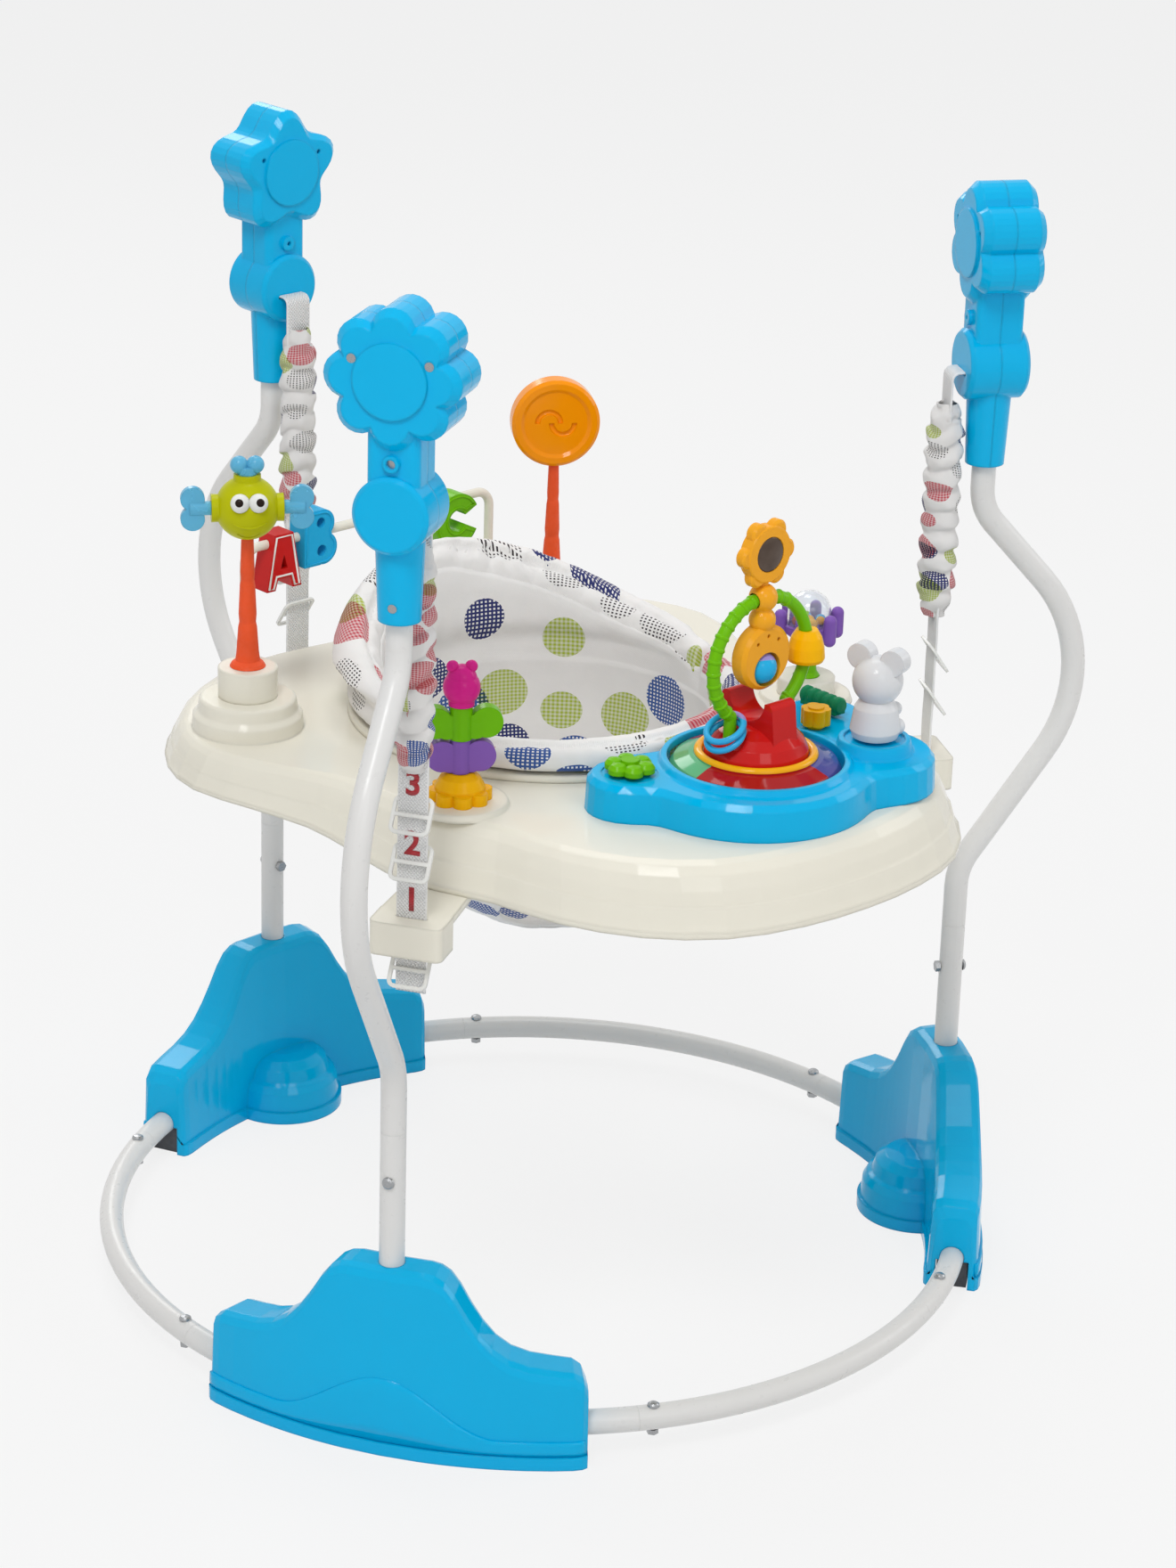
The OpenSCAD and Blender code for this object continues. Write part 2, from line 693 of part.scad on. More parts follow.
module frame_bolts() {
  color("silver") centred() {
    for (i = [0 : 2], s = [-1, 1])
      at_polar(ring_r, post_as[i] + s * (joint_a + ring_plug_a / 2)) translate([0, 0, tube_z]) {
        translate([0, 0, -tube_r - nut_h]) cylinder(r = bolt_d / 2, h = tube_d + nut_h);
        translate([0, 0, tube_r + slip]) bolt_dome();
        translate([0, 0, tube_r]) cylinder(r = bolt_d / 2, h = bolt_head_h / 2);
        translate([0, 0, -tube_r - nut_h - slip]) cylinder(r = nut_d / 2, h = nut_h, $fn = 6);
      }
    for (i = [0 : 2]) at_post(i) translate([0, 0, seam_z - bolt_drop]) rotate([-quarter, 0, 0]) {
      translate([0, 0, -tube_r - nut_h]) cylinder(r = bolt_d / 2, h = tube_d + nut_h);
      translate([0, 0, tube_r + slip]) bolt_dome();
      translate([0, 0, tube_r]) cylinder(r = bolt_d / 2, h = bolt_head_h / 2);
      translate([0, 0, -tube_r - nut_h - slip]) cylinder(r = nut_d / 2, h = nut_h, $fn = 6);
    }
  }
}

// Heads
function crown_edge_r(k, a, inset) =
  let (s = crown_shares[k], size = crown_r * s[3], step = full_turn / s[0],
    d = ((a % step) + step) % step > step / 2 ? step - ((a % step) + step) % step : ((a % step) + step)
      % step)
  s[1] == 0 ? size * (1 - s[2] + s[2] * cos(s[0] * a)) - inset
  : let (p = size * s[1], c = size - p) c * cos(d) + sqrt(p * p - pow(c * sin(d), 2)) - inset;

function crown_sec(k, y, inset) = let (n = crown_shares[k][0] * crown_shares[k][4])
  [for (i = [0 : n - 1]) let (a = i * full_turn / n, r = crown_edge_r(k, a, inset))
    [r * sin(a), y, r * cos(a)]];

module crown_half(k) {
  translate([0, 0, crown_z]) {
    loft([crown_sec(k, crown_half, crown_edge), crown_sec(k, crown_half - crown_edge, 0),
      crown_sec(k, 0, 0)]);
    rotate([-quarter, 0, 0]) cylinder(r = face_d / 2, h = crown_half + face_h);
  }
}

module screw_spots() {
  for (s = [-1, 1]) translate([s * screw_x, 0, crown_z + screw_up]) children();
  translate([0, 0, (boss_z + boss_r + crown_z - crown_r) / 2]) children();
}

// outer half of a head, the strap slot is cut for the inner half
module head_half(k, inner) {
  big = 2 * (crown_z - socket_z);
  cavity = crown_half - head_wall;
  difference() {
    union() {
      difference() {
        union() {
          crown_half(k);
          translate([0, 0, boss_z]) bevel_disc(boss_r, boss_half, head_wall);
          translate([0, 0, boss_z]) linear_extrude(height = crown_z - boss_z)
            round_rect(neck_w, neck_w, head_wall * 2);
          translate([0, 0, socket_z]) cylinder(d1 = socket_low_d, d2 = socket_top_d, h = socket_l);
        }
        translate([0, 0, crown_z]) rotate([quarter, 0, 0]) cylinder(r = crown_r * 0.62, h = 2 * cavity,
          center = true);
        translate([0, 0, boss_z]) rotate([quarter, 0, 0]) cylinder(r = boss_r - head_wall * 1.5,
          h = boss_depth - 2 * head_wall, center = true);
        translate([0, 0, boss_z]) linear_extrude(height = crown_z - boss_z)
          square(neck_w - 3 * head_wall, center = true);
      }
      screw_spots() rotate([quarter, 0, 0]) cylinder(r = screw_head_d / 2 + head_wall, h = 2 * cavity,
        center = true);
    }
    translate([0, 0, socket_z - over]) cylinder(r = tube_r + slip, h = socket_l - head_wall + over + slip);
    translate([-big / 2, -big, socket_z - over]) cube([big, big, big]);
    screw_spots() rotate([-quarter, 0, 0]) cylinder(r = screw_d / 2 + slip, h = crown_depth);
    if (!inner) {
      translate([0, socket_low_d / 2 - screw_sink, socket_z + socket_l * 0.2]) rotate([-quarter, 0, 0])
        cylinder(r = screw_head_d / 2 + slip, h = socket_low_d);
      translate([0, 0, socket_z + socket_l * 0.2]) rotate([-quarter, 0, 0])
        cylinder(r = screw_d / 2 + slip, h = socket_low_d);
      for (s = [-1, 1]) translate([s * screw_x, crown_half - screw_sink, crown_z + screw_up])
        rotate([-quarter, 0, 0]) cylinder(r = screw_head_d / 2 + slip, h = crown_half);
      translate([0, neck_w / 2 - screw_sink, (boss_z + boss_r + crown_z - crown_r) / 2])
        rotate([-quarter, 0, 0]) cylinder(r = screw_head_d / 2 + slip, h = neck_w);
    }
    if (inner) translate([0, boss_half, boss_z - slot_drop])
      cube([web_w + 2 * part_gap, boss_half, slot_t], center = true);
  }
}

module head_outer(i) {
  color("deepskyblue") centred() at_post(i) head_half(i, false);
}

module head_inner(i) {
  color("deepskyblue") centred() at_post(i) mirror([0, 1, 0]) head_half(i, true);
}

module star_head_outer() {
  head_outer(0);
}

module star_head_inner() {
  head_inner(0);
}

module flower_head_outer() {
  head_outer(1);
}

module flower_head_inner() {
  head_inner(1);
}

module cloud_head_outer() {
  head_outer(2);
}

module cloud_head_inner() {
  head_inner(2);
}

module head_screw(face) {
  translate([0, face - screw_sink, 0]) rotate([-quarter, 0, 0])
    cylinder(r = screw_head_d / 2, h = screw_sink);
  translate([0, -neck_w / 4, 0]) rotate([-quarter, 0, 0])
    cylinder(r = screw_d / 2, h = face + neck_w / 4 - over);
}

module head_screws() {
  color("silver") centred() for (i = [0 : 2]) at_post(i) {
    for (s = [-1, 1]) translate([s * screw_x, 0, crown_z + screw_up]) head_screw(crown_half);
    translate([0, 0, (boss_z + boss_r + crown_z - crown_r) / 2]) head_screw(neck_w / 2);
    translate([0, 0, socket_z + socket_l * 0.2]) rotate([-quarter, 0, 0]) {
      translate([0, 0, tube_r + seat_gap]) cylinder(r = screw_d / 2, h = socket_low_d / 2 - tube_r
        - screw_sink);
      translate([0, 0, socket_low_d / 2 - screw_sink]) cylinder(r = screw_head_d / 2, h = screw_sink);
    }
  }
}

// Straps
module top_webbing() {
  y0 = strap_y - web_t / 2;
  y1 = strap_y + web_t / 2;
  z1 = boss_z - slot_drop + web_t / 2;
  inner = -boss_half + head_wall + part_gap;
  color("white") centred() for (i = [0 : 2]) at_post(i) along_x(web_w)
    polygon([[y0, spring_top + part_gap], [y1, spring_top + part_gap], [y1, z1 - web_t],
      [inner, z1 - web_t],
      [inner, z1 - web_t * 2], [inner + web_t * 2, z1 - web_t * 2], [inner + web_t * 2, z1 + web_t],
      [inner, z1 + web_t], [inner, z1], [y0 + web_t / 2, z1], [y0, z1 - web_t / 2]]);
}

module spring_sleeves() {
  n = gathers * 4;
  outer = [for (i = [0 : n]) [gather_d / 2 - gather_deep / 2 - gather_deep / 2 * cos(i * quarter),
    gather_low + gather_l * i / n]];
  in_r = spring_d / 2 + over / 2;
  color("white") centred() for (i = [0 : 2]) at_post(i) translate([0, strap_y, 0]) rotate_extrude()
    polygon(concat(outer, [[in_r, gather_top], [in_r, gather_low]]));
}

module coil() {
  steps = spring_turns * 8;
  r = (spring_d - spring_wire) / 2;
  rise = (spring_top - spring_low - spring_wire * 2) / steps;
  z0 = spring_low + spring_wire;
  loft([for (i = [0 : steps]) [for (j = [0 : 5]) let (a = i * full_turn / 8, b = j * full_turn / 6)
    polar(r + spring_wire / 2 * cos(b), a, z0 + i * rise + spring_wire / 2 * sin(b))]]);
  echo(coil_gap = rise * 8 - spring_wire);
}

module suspension_springs() {
  color("silver") centred() for (i = [0 : 2]) at_post(i) translate([0, strap_y, 0]) coil();
}

module lower_straps() {
  top = spring_low - part_gap;
  low = bracket_z - tail_l;
  color("white") centred() for (i = [0 : 2]) at_post(i)
    translate([-web_w / 2, strap_y - web_t / 2, low]) cube([web_w, web_t, top - low]);
}

module strap_ring() {
  w = web_w + 2 * over;
  linear_extrude(height = loop_t, center = true) {
    difference() {
      round_rect(w + 2 * loop_bar, 2 * loop_r, loop_bar * 2);
      round_rect(w, 2 * loop_r - 2 * loop_bar, loop_bar);
    }
    square([w + loop_bar, loop_bar], center = true);
  }
}

module strap_rings() {
  off = web_t / 2 + loop_bar / 2 * cos(loop_tilt) + loop_t / 2 * sin(loop_tilt) + part_gap;
  top = bracket_z + bracket_h;
  drop = loop_r * sin(loop_tilt) + loop_t + part_gap;
  color("white") centred() for (i = [0 : 2]) at_post(i)
    for (z = [top + mark_step * 1.2, top + mark_step * 2.2, bracket_z - drop])
      translate([0, strap_y + off, z]) rotate([-loop_tilt, 0, 0]) strap_ring();
}

// Tray
function tray_sec(a, r, h) = let (top = r - skirt_run * h, run = skirt_run * h, w = tray_wall)
  concat([polar(hole_r, a, tray_z)],
    [for (s = skirt_shares) polar(top + run * s[0], a, tray_z - h * s[1])],
    [for (s = inner_shares) polar(top + run * s[0] - w, a, tray_z - h * s[1] - w * s[2])],
    [polar(hole_r + w, a, tray_z - w), polar(hole_r + w, a, tray_z - hole_drop),
      polar(hole_r, a, tray_z - hole_drop)]);

module tray_loft() {
  lip = fine(lip_shares);
  drop = fine(drop_shares);
  n = len(lip) - 1;
  step = half_turn / n;
  loft([for (i = [0 : 2 * n - 1]) let (k = i > n ? 2 * n - i : i)
    tray_sec(quarter - i * step, tray_r * lip[k], skirt_h * drop[k])], true);
}

module plinth(steps) {
  for (i = [0 : steps - 1]) translate([0, 0, tray_z + (i == 0 ? -tray_wall / 2 : i * plinth_h)])
    cylinder(r1 = plinth_r + plinth_h * (steps - i - 1) + over, r2 = plinth_r + plinth_h * (steps - i - 1)
      - over,
      h = plinth_h + (i == 0 ? tray_wall / 2 : 0));
}

module fish_plinth() {
  h = fish_plinth_h;
  translate([0, 0, tray_z]) rotate_extrude() polygon([[0, -tray_wall / 2],
    [plinth_r + h * 0.26, -tray_wall / 2],
    [plinth_r + h * 0.26, h * 0.1], [plinth_r + h * 0.24, h * 0.42], [plinth_r + h * 0.08, h * 0.6],
    [plinth_r + h * 0.04, h * 0.92], [plinth_r - h * 0.04, h], [0, h]]);
}

module tray_shell() {
  color("ivory") centred() difference() {
    union() {
      tray_loft();
      at_polar(rear_station_r, 150) fish_plinth();
      at_polar(rear_station_r, lolly_a) plinth(2);
      at_polar(side_station_r, 210) plinth(1);
      at_polar(side_station_r, 330) plinth(1);
    }
    for (s = [-1, 1]) translate([s * arch_x, arch_y, tray_z - tray_wall - over])
      cylinder(r = wire_d / 2 + slip, h = tray_wall + 2 * over);
  }
}

module tray_frame() {
  in_r = hole_r + tray_wall;
  color("ivory") centred() difference() {
    union() {
      rotate_extrude() polygon([[in_r, under_z], [under_r, under_z], [under_r, under_z + under_t],
        [in_r + under_t, under_z + under_t], [in_r + under_t / 2, tray_z - hole_drop - seat_gap],
        [in_r, tray_z - hole_drop - seat_gap]]);
      for (i = [0 : 2]) {
        rotate([0, 0, post_as[i]]) translate([0, 0, under_z]) linear_extrude(height = under_t)
          polygon([[in_r + under_t, -arm_w / 2], [strap_r, -bracket_w / 2], [strap_r, bracket_w / 2],
            [in_r + under_t, arm_w / 2]]);
        at_post(i) translate([0, strap_y, bracket_z]) linear_extrude(height = bracket_h)
          round_rect(bracket_w, bracket_l, head_wall * 2);
        rotate([0, 0, post_as[i]]) translate([0, under_t / 2, 0]) rotate([quarter, 0, 0])
          linear_extrude(height = under_t) polygon([[under_r - under_t, under_z + over],
            [strap_r - bracket_l / 2 + over, under_z + over],
            [strap_r - bracket_l / 2 + over, bracket_z]]);
      }
      for (k = [0 : 5]) rotate([0, 0, k * full_turn / 6]) translate([under_r - under_t * 1.5, 0, under_z])
        cylinder(r = under_t, h = tray_z - tray_wall - under_z - seat_gap);
    }
    for (i = [0 : 2]) at_post(i) translate([0, strap_y, bracket_z + bracket_h / 2])
      cube([web_w + 2 * part_gap, slot_t, bracket_h + 2 * over], center = true);
  }
}

// Seat
module seat_ring() {
  low = under_z - flange_t - part_gap;
  color("ivory") centred() {
    rotate_extrude() polygon([[hole_neck_r - neck_t, low], [hole_neck_r, low], [hole_neck_r, flange_z],
      [flange_r, flange_z], [flange_r - over, flange_z + flange_t],
        [hole_neck_r - neck_t, flange_z + flange_t]]);
    for (i = [0 : 2]) rotate([0, 0, post_as[i] - foot_a / 2]) rotate_extrude(angle = foot_a)
      polygon([[hole_neck_r - over, low], [hole_neck_r + tray_wall + flange_t, low],
        [hole_neck_r + tray_wall + flange_t, low + flange_t], [hole_neck_r - over, low + flange_t]]);
  }
}

module rim_pad() {
  w = rim_out_r - rim_in_r;
  edge = back_a + seat_gap / rim_out_r * half_turn / PI;
  color("white") centred() rotate([0, 0, half_turn + edge]) rotate_extrude(angle = half_turn - 2 * edge)
    polygon([for (s = concat(rim_shares, hem_shares)) [rim_in_r + w * s[0], pad_z + rim_h * s[1]]]);
}

module seat_back() {
  rise = fine(rise_shares);
  n = len(rise) - 1;
  step = (quarter + back_a) / n;
  rim_w = rim_out_r - rim_in_r;
  hem_w = rim_w * hem_shares[0][0];
  hem_z = rim_h * hem_shares[0][1];
  color("white") centred() loft([for (i = [0 : 2 * n])
    let (k = i > n ? 2 * n - i : i, a = half_turn + back_a - i * step, h = rim_h + (back_h - rim_h)
      * rise[k],
      w = hem_w + (back_r - rim_in_r - hem_w) * min(1, rise[k] / swell_share))
    concat([for (s = back_shares) polar(rim_in_r + w * s[0], a, pad_z + h * s[1])],
      [for (s = swell_shares) polar(rim_in_r + w * s[0], a, pad_z + hem_z + (h - hem_z) * s[1])],
      [for (s = hem_shares) polar(rim_in_r + rim_w * s[0], a, pad_z + rim_h * s[1])])]);
}

module seat_sling() {
  r = hole_neck_r - neck_t - part_gap;
  top = flange_z + flange_t;
  ri = r - sling_t;
  hi = sling_h - sling_t;
  n = len(sling_shares) - 1;
  color("white") centred() difference() {
    rotate_extrude() polygon(concat([for (s = sling_shares) [r * s[0], top - sling_h * s[1]]],
      [for (i = [n : -1 : 0]) [ri * sling_shares[i][0], top - hi * sling_shares[i][1]]]));
    for (s = [-1, 1]) rotate([0, 0, -quarter + s * leg_a]) translate([r * 0.3, 0, top - sling_h * 0.68])
      rotate([0, quarter + 22, 0]) cylinder(r = leg_r, h = r * 2);
  }
}

// Fish
cup_z = tray_z + fish_plinth_h;
lolly_cup_z = tray_z + plinth_h * 2;
spin_cup_z = tray_z + plinth_h;
spin_cup_h = cup_h * 0.6;
fish_z = cup_z + cup_h + stalk_h + fish_r - over * 3;

module cup(h) {
  difference() {
    rotate_extrude() polygon([[0, 0], [cup_r, 0], [cup_r, h - over], [cup_r - over, h], [0, h]]);
    translate([0, 0, h * 0.4]) cylinder(r = stem_r + slip, h = h);
  }
}

module toy_cups() {
  color("ivory") centred() {
    at_polar(rear_station_r, 150) translate([0, 0, cup_z]) cup(cup_h);
    at_polar(rear_station_r, lolly_a) translate([0, 0, lolly_cup_z]) cup(cup_h);
    at_polar(side_station_r, 330) translate([0, 0, spin_cup_z]) cup(spin_cup_h);
  }
}

module stalk(d, h, foot) {
  rotate_extrude() polygon([[0, part_gap], [foot, part_gap], [foot * 0.9, d * 0.16], [d * 0.55, d * 0.3],
    [d / 2, d * 0.7], [d * 0.42, h * 0.3], [d * 0.37, h * 0.34], [d * 0.4, h * 0.4], [d * 0.34, h * 0.62],
    [d * 0.3, h * 0.66], [d * 0.32, h * 0.72], [d * 0.27, h], [0, h]]);
}

module fish_stalk() {
  color("orangered") centred() at_polar(rear_station_r, 150) translate([0, 0, cup_z + cup_h]) {
    stalk(stalk_d, stalk_h, stalk_d * 0.8);
    translate([0, 0, -cup_h * 0.5]) cylinder(r = stem_r, h = cup_h * 0.5 + over);
  }
}

module at_fish() {
  translate(polar(rear_station_r, 150, fish_z)) rotate([0, 0, fish_look]) children();
}

module fish_body() {
  color("yellowgreen") centred() difference() {
    at_fish() union() {
      sphere(r = fish_r);
      for (s = [-1, 1]) rotate([-s * quarter, 0, 0]) cylinder(r1 = fish_r * 0.4, r2 = fish_r * 0.44,
        h = fish_r * 1.12);
      cylinder(r1 = fish_r * 0.5, r2 = fish_r * 0.42, h = fish_r * 1.08);
    }
    at_polar(rear_station_r, 150) translate([0, 0, cup_z + cup_h]) cylinder(r = stalk_d * 0.27 + slip,
      h = stalk_h + seat_gap);
    at_fish() for (s = [-1, 1]) rotate([0, -24, s * 18]) translate([fish_r, 0, 0]) sphere(r = fish_r * 0.3);
    at_fish() rotate([0, 24, 0]) rotate([0, quarter, 0]) translate([0, 0, fish_r * 0.9])
      rotate([0, 0, -52]) rotate_extrude(angle = 104) translate([fish_r * 0.44, 0])
        circle(r = fish_r * 0.05);
  }
}

module fish_eyes() {
  color("whitesmoke") centred() at_fish() for (s = [-1, 1]) rotate([0, -24, s * 18])
    translate([fish_r, 0, 0])
    sphere(r = fish_r * 0.3 - slip);
}

module fish_fins() {
  stub = fish_r * 1.12 + slip;
  color("skyblue") centred() at_fish() {
    for (s = [-1, 1]) {
      translate([0, s * stub, 0]) rotate([-s * quarter, 0, 0]) cylinder(r = fish_r * 0.22, h = fin_l * 0.7);
      for (t = [-1, 1]) translate([0, s * (stub + fin_l * 0.6), t * fin_l * 0.34]) rotate([0, quarter, 0])
        cylinder(r = fin_l * 0.4, h = fin_t, center = true);
    }
    translate([0, 0, fish_r * 1.08 + slip]) cylinder(r = fish_r * 0.3, h = fish_r * 0.25);
    for (s = [-1, 1]) translate([0, s * fish_r * 0.25, fish_r * 1.38]) sphere(r = fish_r * 0.28);
  }
}

// Wire arch and letters
module wire_arch() {
  r = wire_d / 2;
  bar = 2 * (arch_x - arch_bend);
  foot = tray_z - tray_wall;
  color("ivory") centred() translate([0, arch_y, 0]) {
    translate([-bar / 2, 0, arch_z]) rotate([0, quarter, 0]) cylinder(r = r, h = bar);
    for (s = [-1, 1]) {
      translate([s * arch_x, 0, foot]) cylinder(r = r, h = arch_z - arch_bend - foot);
      translate([s * arch_x, 0, tray_z + slip]) cylinder(r1 = r * 2, r2 = r * 1.4, h = plinth_h);
      translate([s * bar / 2, 0, arch_z - arch_bend]) rotate([quarter, 0, 0])
        rotate([0, 0, s > 0 ? 0 : quarter]) rotate_extrude(angle = quarter) translate([arch_bend, 0])
          circle(r = r);
    }
  }
}

module at_letter(x) {
  translate([x, arch_y, arch_z]) children();
}

// a letter drawn as (x, z) and given a thickness along y
module along_y(t) {
  rotate([quarter, 0, 0]) linear_extrude(height = t, center = true) children();
}

module bar_hole() {
  rotate([0, quarter, 0]) cylinder(r = wire_d / 2 + slip, h = 2 * letter_h, center = true);
}

module letter_a() {
  h = letter_h;
  color("red") centred() at_letter(letter_a_x) difference() {
    translate([0, 0, -h * 0.3]) along_y(letter_t) difference() {
      polygon([[-h * 0.38, -h / 2], [-h * 0.19, -h / 2], [-h * 0.13, -h * 0.3], [h * 0.13, -h * 0.3],
        [h * 0.19, -h / 2], [h * 0.38, -h / 2], [h * 0.2, h / 2], [-h * 0.2, h / 2]]);
      polygon([[-h * 0.08, -h * 0.13], [h * 0.08, -h * 0.13], [0, h * 0.12]]);
    }
    bar_hole();
  }
}

module letter_b() {
  h = letter_h;
  color("dodgerblue") centred() at_letter(letter_b_x) difference() {
    translate([0, 0, -h * 0.03]) along_y(letter_t) difference() {
      union() {
        translate([-h * 0.36, -h / 2]) square([h * 0.36, h]);
        translate([h * 0.04, h * 0.24]) circle(r = h * 0.26);
        translate([h * 0.07, -h * 0.21]) circle(r = h * 0.29);
      }
      translate([0, h * 0.27]) circle(r = h * 0.09);
      translate([h * 0.02, -h * 0.24]) circle(r = h * 0.1);
    }
    bar_hole();
  }
}

module letter_c() {
  h = letter_h;
  color("limegreen") centred() at_letter(letter_c_x) difference() {
    translate([0, 0, -h * 0.36]) along_y(letter_t) difference() {
      circle(r = h / 2);
      circle(r = h * 0.2);
      polygon([[0, 0], [h, h * 0.5], [h, -h * 0.5]]);
    }
    bar_hole();
  }
}

// Lollipop
module lollipop_stalk() {
  len = lolly_h - lolly_r + over * 3;
  color("orangered") centred() at_polar(rear_station_r, lolly_a) translate([0, 0, lolly_cup_z + cup_h]) {
    stalk(lolly_stalk_d, len, lolly_stalk_d * 0.8);
    translate([0, 0, -cup_h * 0.5]) cylinder(r = stem_r, h = cup_h * 0.5 + over);
  }
}

module lollipop_disc() {
  len = lolly_h - lolly_r + over * 3;
  color("orange") centred() difference() {
    translate(polar(rear_station_r, lolly_a, lolly_cup_z + cup_h + lolly_h))
      rotate([0, 0, fish_look - quarter])
      rotate([quarter, 0, 0]) difference() {
        rotate_extrude() polygon([[0, -lolly_t * 0.38], [lolly_r * 0.72, -lolly_t * 0.38],
          [lolly_r * 0.8, -lolly_t / 2], [lolly_r * 0.93, -lolly_t / 2], [lolly_r, -lolly_t * 0.36],
          [lolly_r, lolly_t * 0.36], [lolly_r * 0.93, lolly_t / 2], [lolly_r * 0.8, lolly_t / 2],
          [lolly_r * 0.72, lolly_t * 0.38], [0, lolly_t * 0.38]]);
        for (m = [0, 1], s = [0, 1]) mirror([0, 0, m]) rotate([0, 0, s * half_turn])
          translate([lolly_r * 0.16, 0, lolly_t * 0.38]) rotate_extrude(angle = half_turn)
            translate([lolly_r * 0.26, 0]) circle(r = lolly_r * 0.06);
      }
    at_polar(rear_station_r, lolly_a) translate([0, 0, lolly_cup_z + cup_h])
      cylinder(r = lolly_stalk_d * 0.27 + slip, h = len + seat_gap);
  }
}

// Stack
stack_z = tray_z + plinth_h;
low_z = stack_z + stack_dome_h + part_gap;
mid_z = low_z + stack_low_h + part_gap;
top_z = mid_z + stack_mid_h + part_gap;

module at_stack(z) {
  translate(polar(side_station_r, 210, z)) rotate([0, 0, fish_look]) children();
}

module pole_hole(h) {
  translate([0, 0, -over]) cylinder(r = pole_d / 2 + slip, h = h + over);
}

module stack_base() {
  color("gold") centred() at_stack(stack_z) {
    rotate_extrude() polygon([[0, 0], [stack_dome_r * 0.8, 0], [stack_dome_r * 0.78, stack_dome_h * 0.5],
      [stack_dome_r * 0.62, stack_dome_h * 0.84], [stack_dome_r * 0.4, stack_dome_h], [0, stack_dome_h]]);
    linear_extrude(height = stack_dome_h * 0.4) {
      circle(r = stack_dome_r * 0.75);
      for (k = [0 : 7]) rotate(k * full_turn / 8) translate([stack_dome_r * 0.7, 0])
        circle(r = stack_dome_r * 0.3);
    }
    cylinder(r = pole_d / 2, h = top_z - stack_z + stack_top_h * 0.6);
  }
}

module wings(span, h, up) {
  r = h * 0.46;
  t = pole_d * 1.3;
  for (s = [-1, 1]) {
    translate([0, s * (span - r), h * 0.52 + up]) rotate([0, quarter, 0])
      cylinder(r = r, h = t, center = true);
    translate([0, s * (span - r) * 0.55, h * 0.4]) rotate([0, quarter, 0]) cylinder(r = r * 0.8, h = t,
      center = true);
  }
}

module stack_lower() {
  color("mediumpurple") centred() at_stack(low_z) difference() {
    union() {
      cylinder(r = pole_d, h = stack_low_h);
      wings(wing_low, stack_low_h, 0);
    }
    pole_hole(stack_low_h + over);
  }
}

module stack_middle() {
  color("limegreen") centred() at_stack(mid_z) difference() {
    union() {
      cylinder(r = pole_d * 1.1, h = stack_mid_h);
      wings(wing_mid, stack_mid_h, 0);
    }
    pole_hole(stack_mid_h + over);
  }
}

module stack_top() {
  r = stack_top_h * 0.4;
  color("deeppink") centred() at_stack(top_z) difference() {
    union() {
      translate([0, 0, r]) sphere(r = r);
      cylinder(r = r * 0.7, h = r);
      translate([0, 0, r * 1.45]) sphere(r = r * 0.82);
      for (s = [-1, 1]) translate([0, s * r * 0.5, stack_top_h - r * 0.34]) sphere(r = r * 0.34);
    }
    pole_hole(stack_top_h * 0.6 + part_gap);
  }
}

// Panel
panel_steps = 16;
ridge_shares = [[0.78, -0.42], [0.97, -0.2], [0.97, 0.2], [0.78, 0.42]];
function lobes(inset) = [for (s = panel_shares) [table_y * s[0], -table_y * s[1], table_y * s[2] - inset]];
function field(p, l, i = 0) = i == len(l) ? 0
  : exp((l[i][2] - norm([p[0] - l[i][0], p[1] - l[i][1]])) / panel_blend) + field(p, l, i + 1);
function reach(a, l, lo, hi, k) = k == 0 ? lo : let (m = (lo + hi) / 2)
  field([m * cos(a), m * sin(a) - table_y], l) > 1 ? reach(a, l, m, hi, k - 1) : reach(a, l, lo, m, k - 1);
function panel_sec(inset, z) = let (n = 90, l = lobes(inset)) [for (i = [0 : n - 1])
  let (a = i * full_turn / n, r = reach(a, l, table_r, table_y, panel_steps))
    [r * cos(a), r * sin(a) - table_y, z]];

flower_at = lobes(0)[0];
bear_at = lobes(0)[2];
worm_at = lobes(0)[3];
gift_at = [worm_at[0] - gift_r * 2.4, worm_at[1] - gift_r * 1.7];

module stem_bore(p, r) {
  translate([p[0], p[1], tray_z - over]) cylinder(r = r + slip, h = panel_h + bear_rise + 2 * over);
}

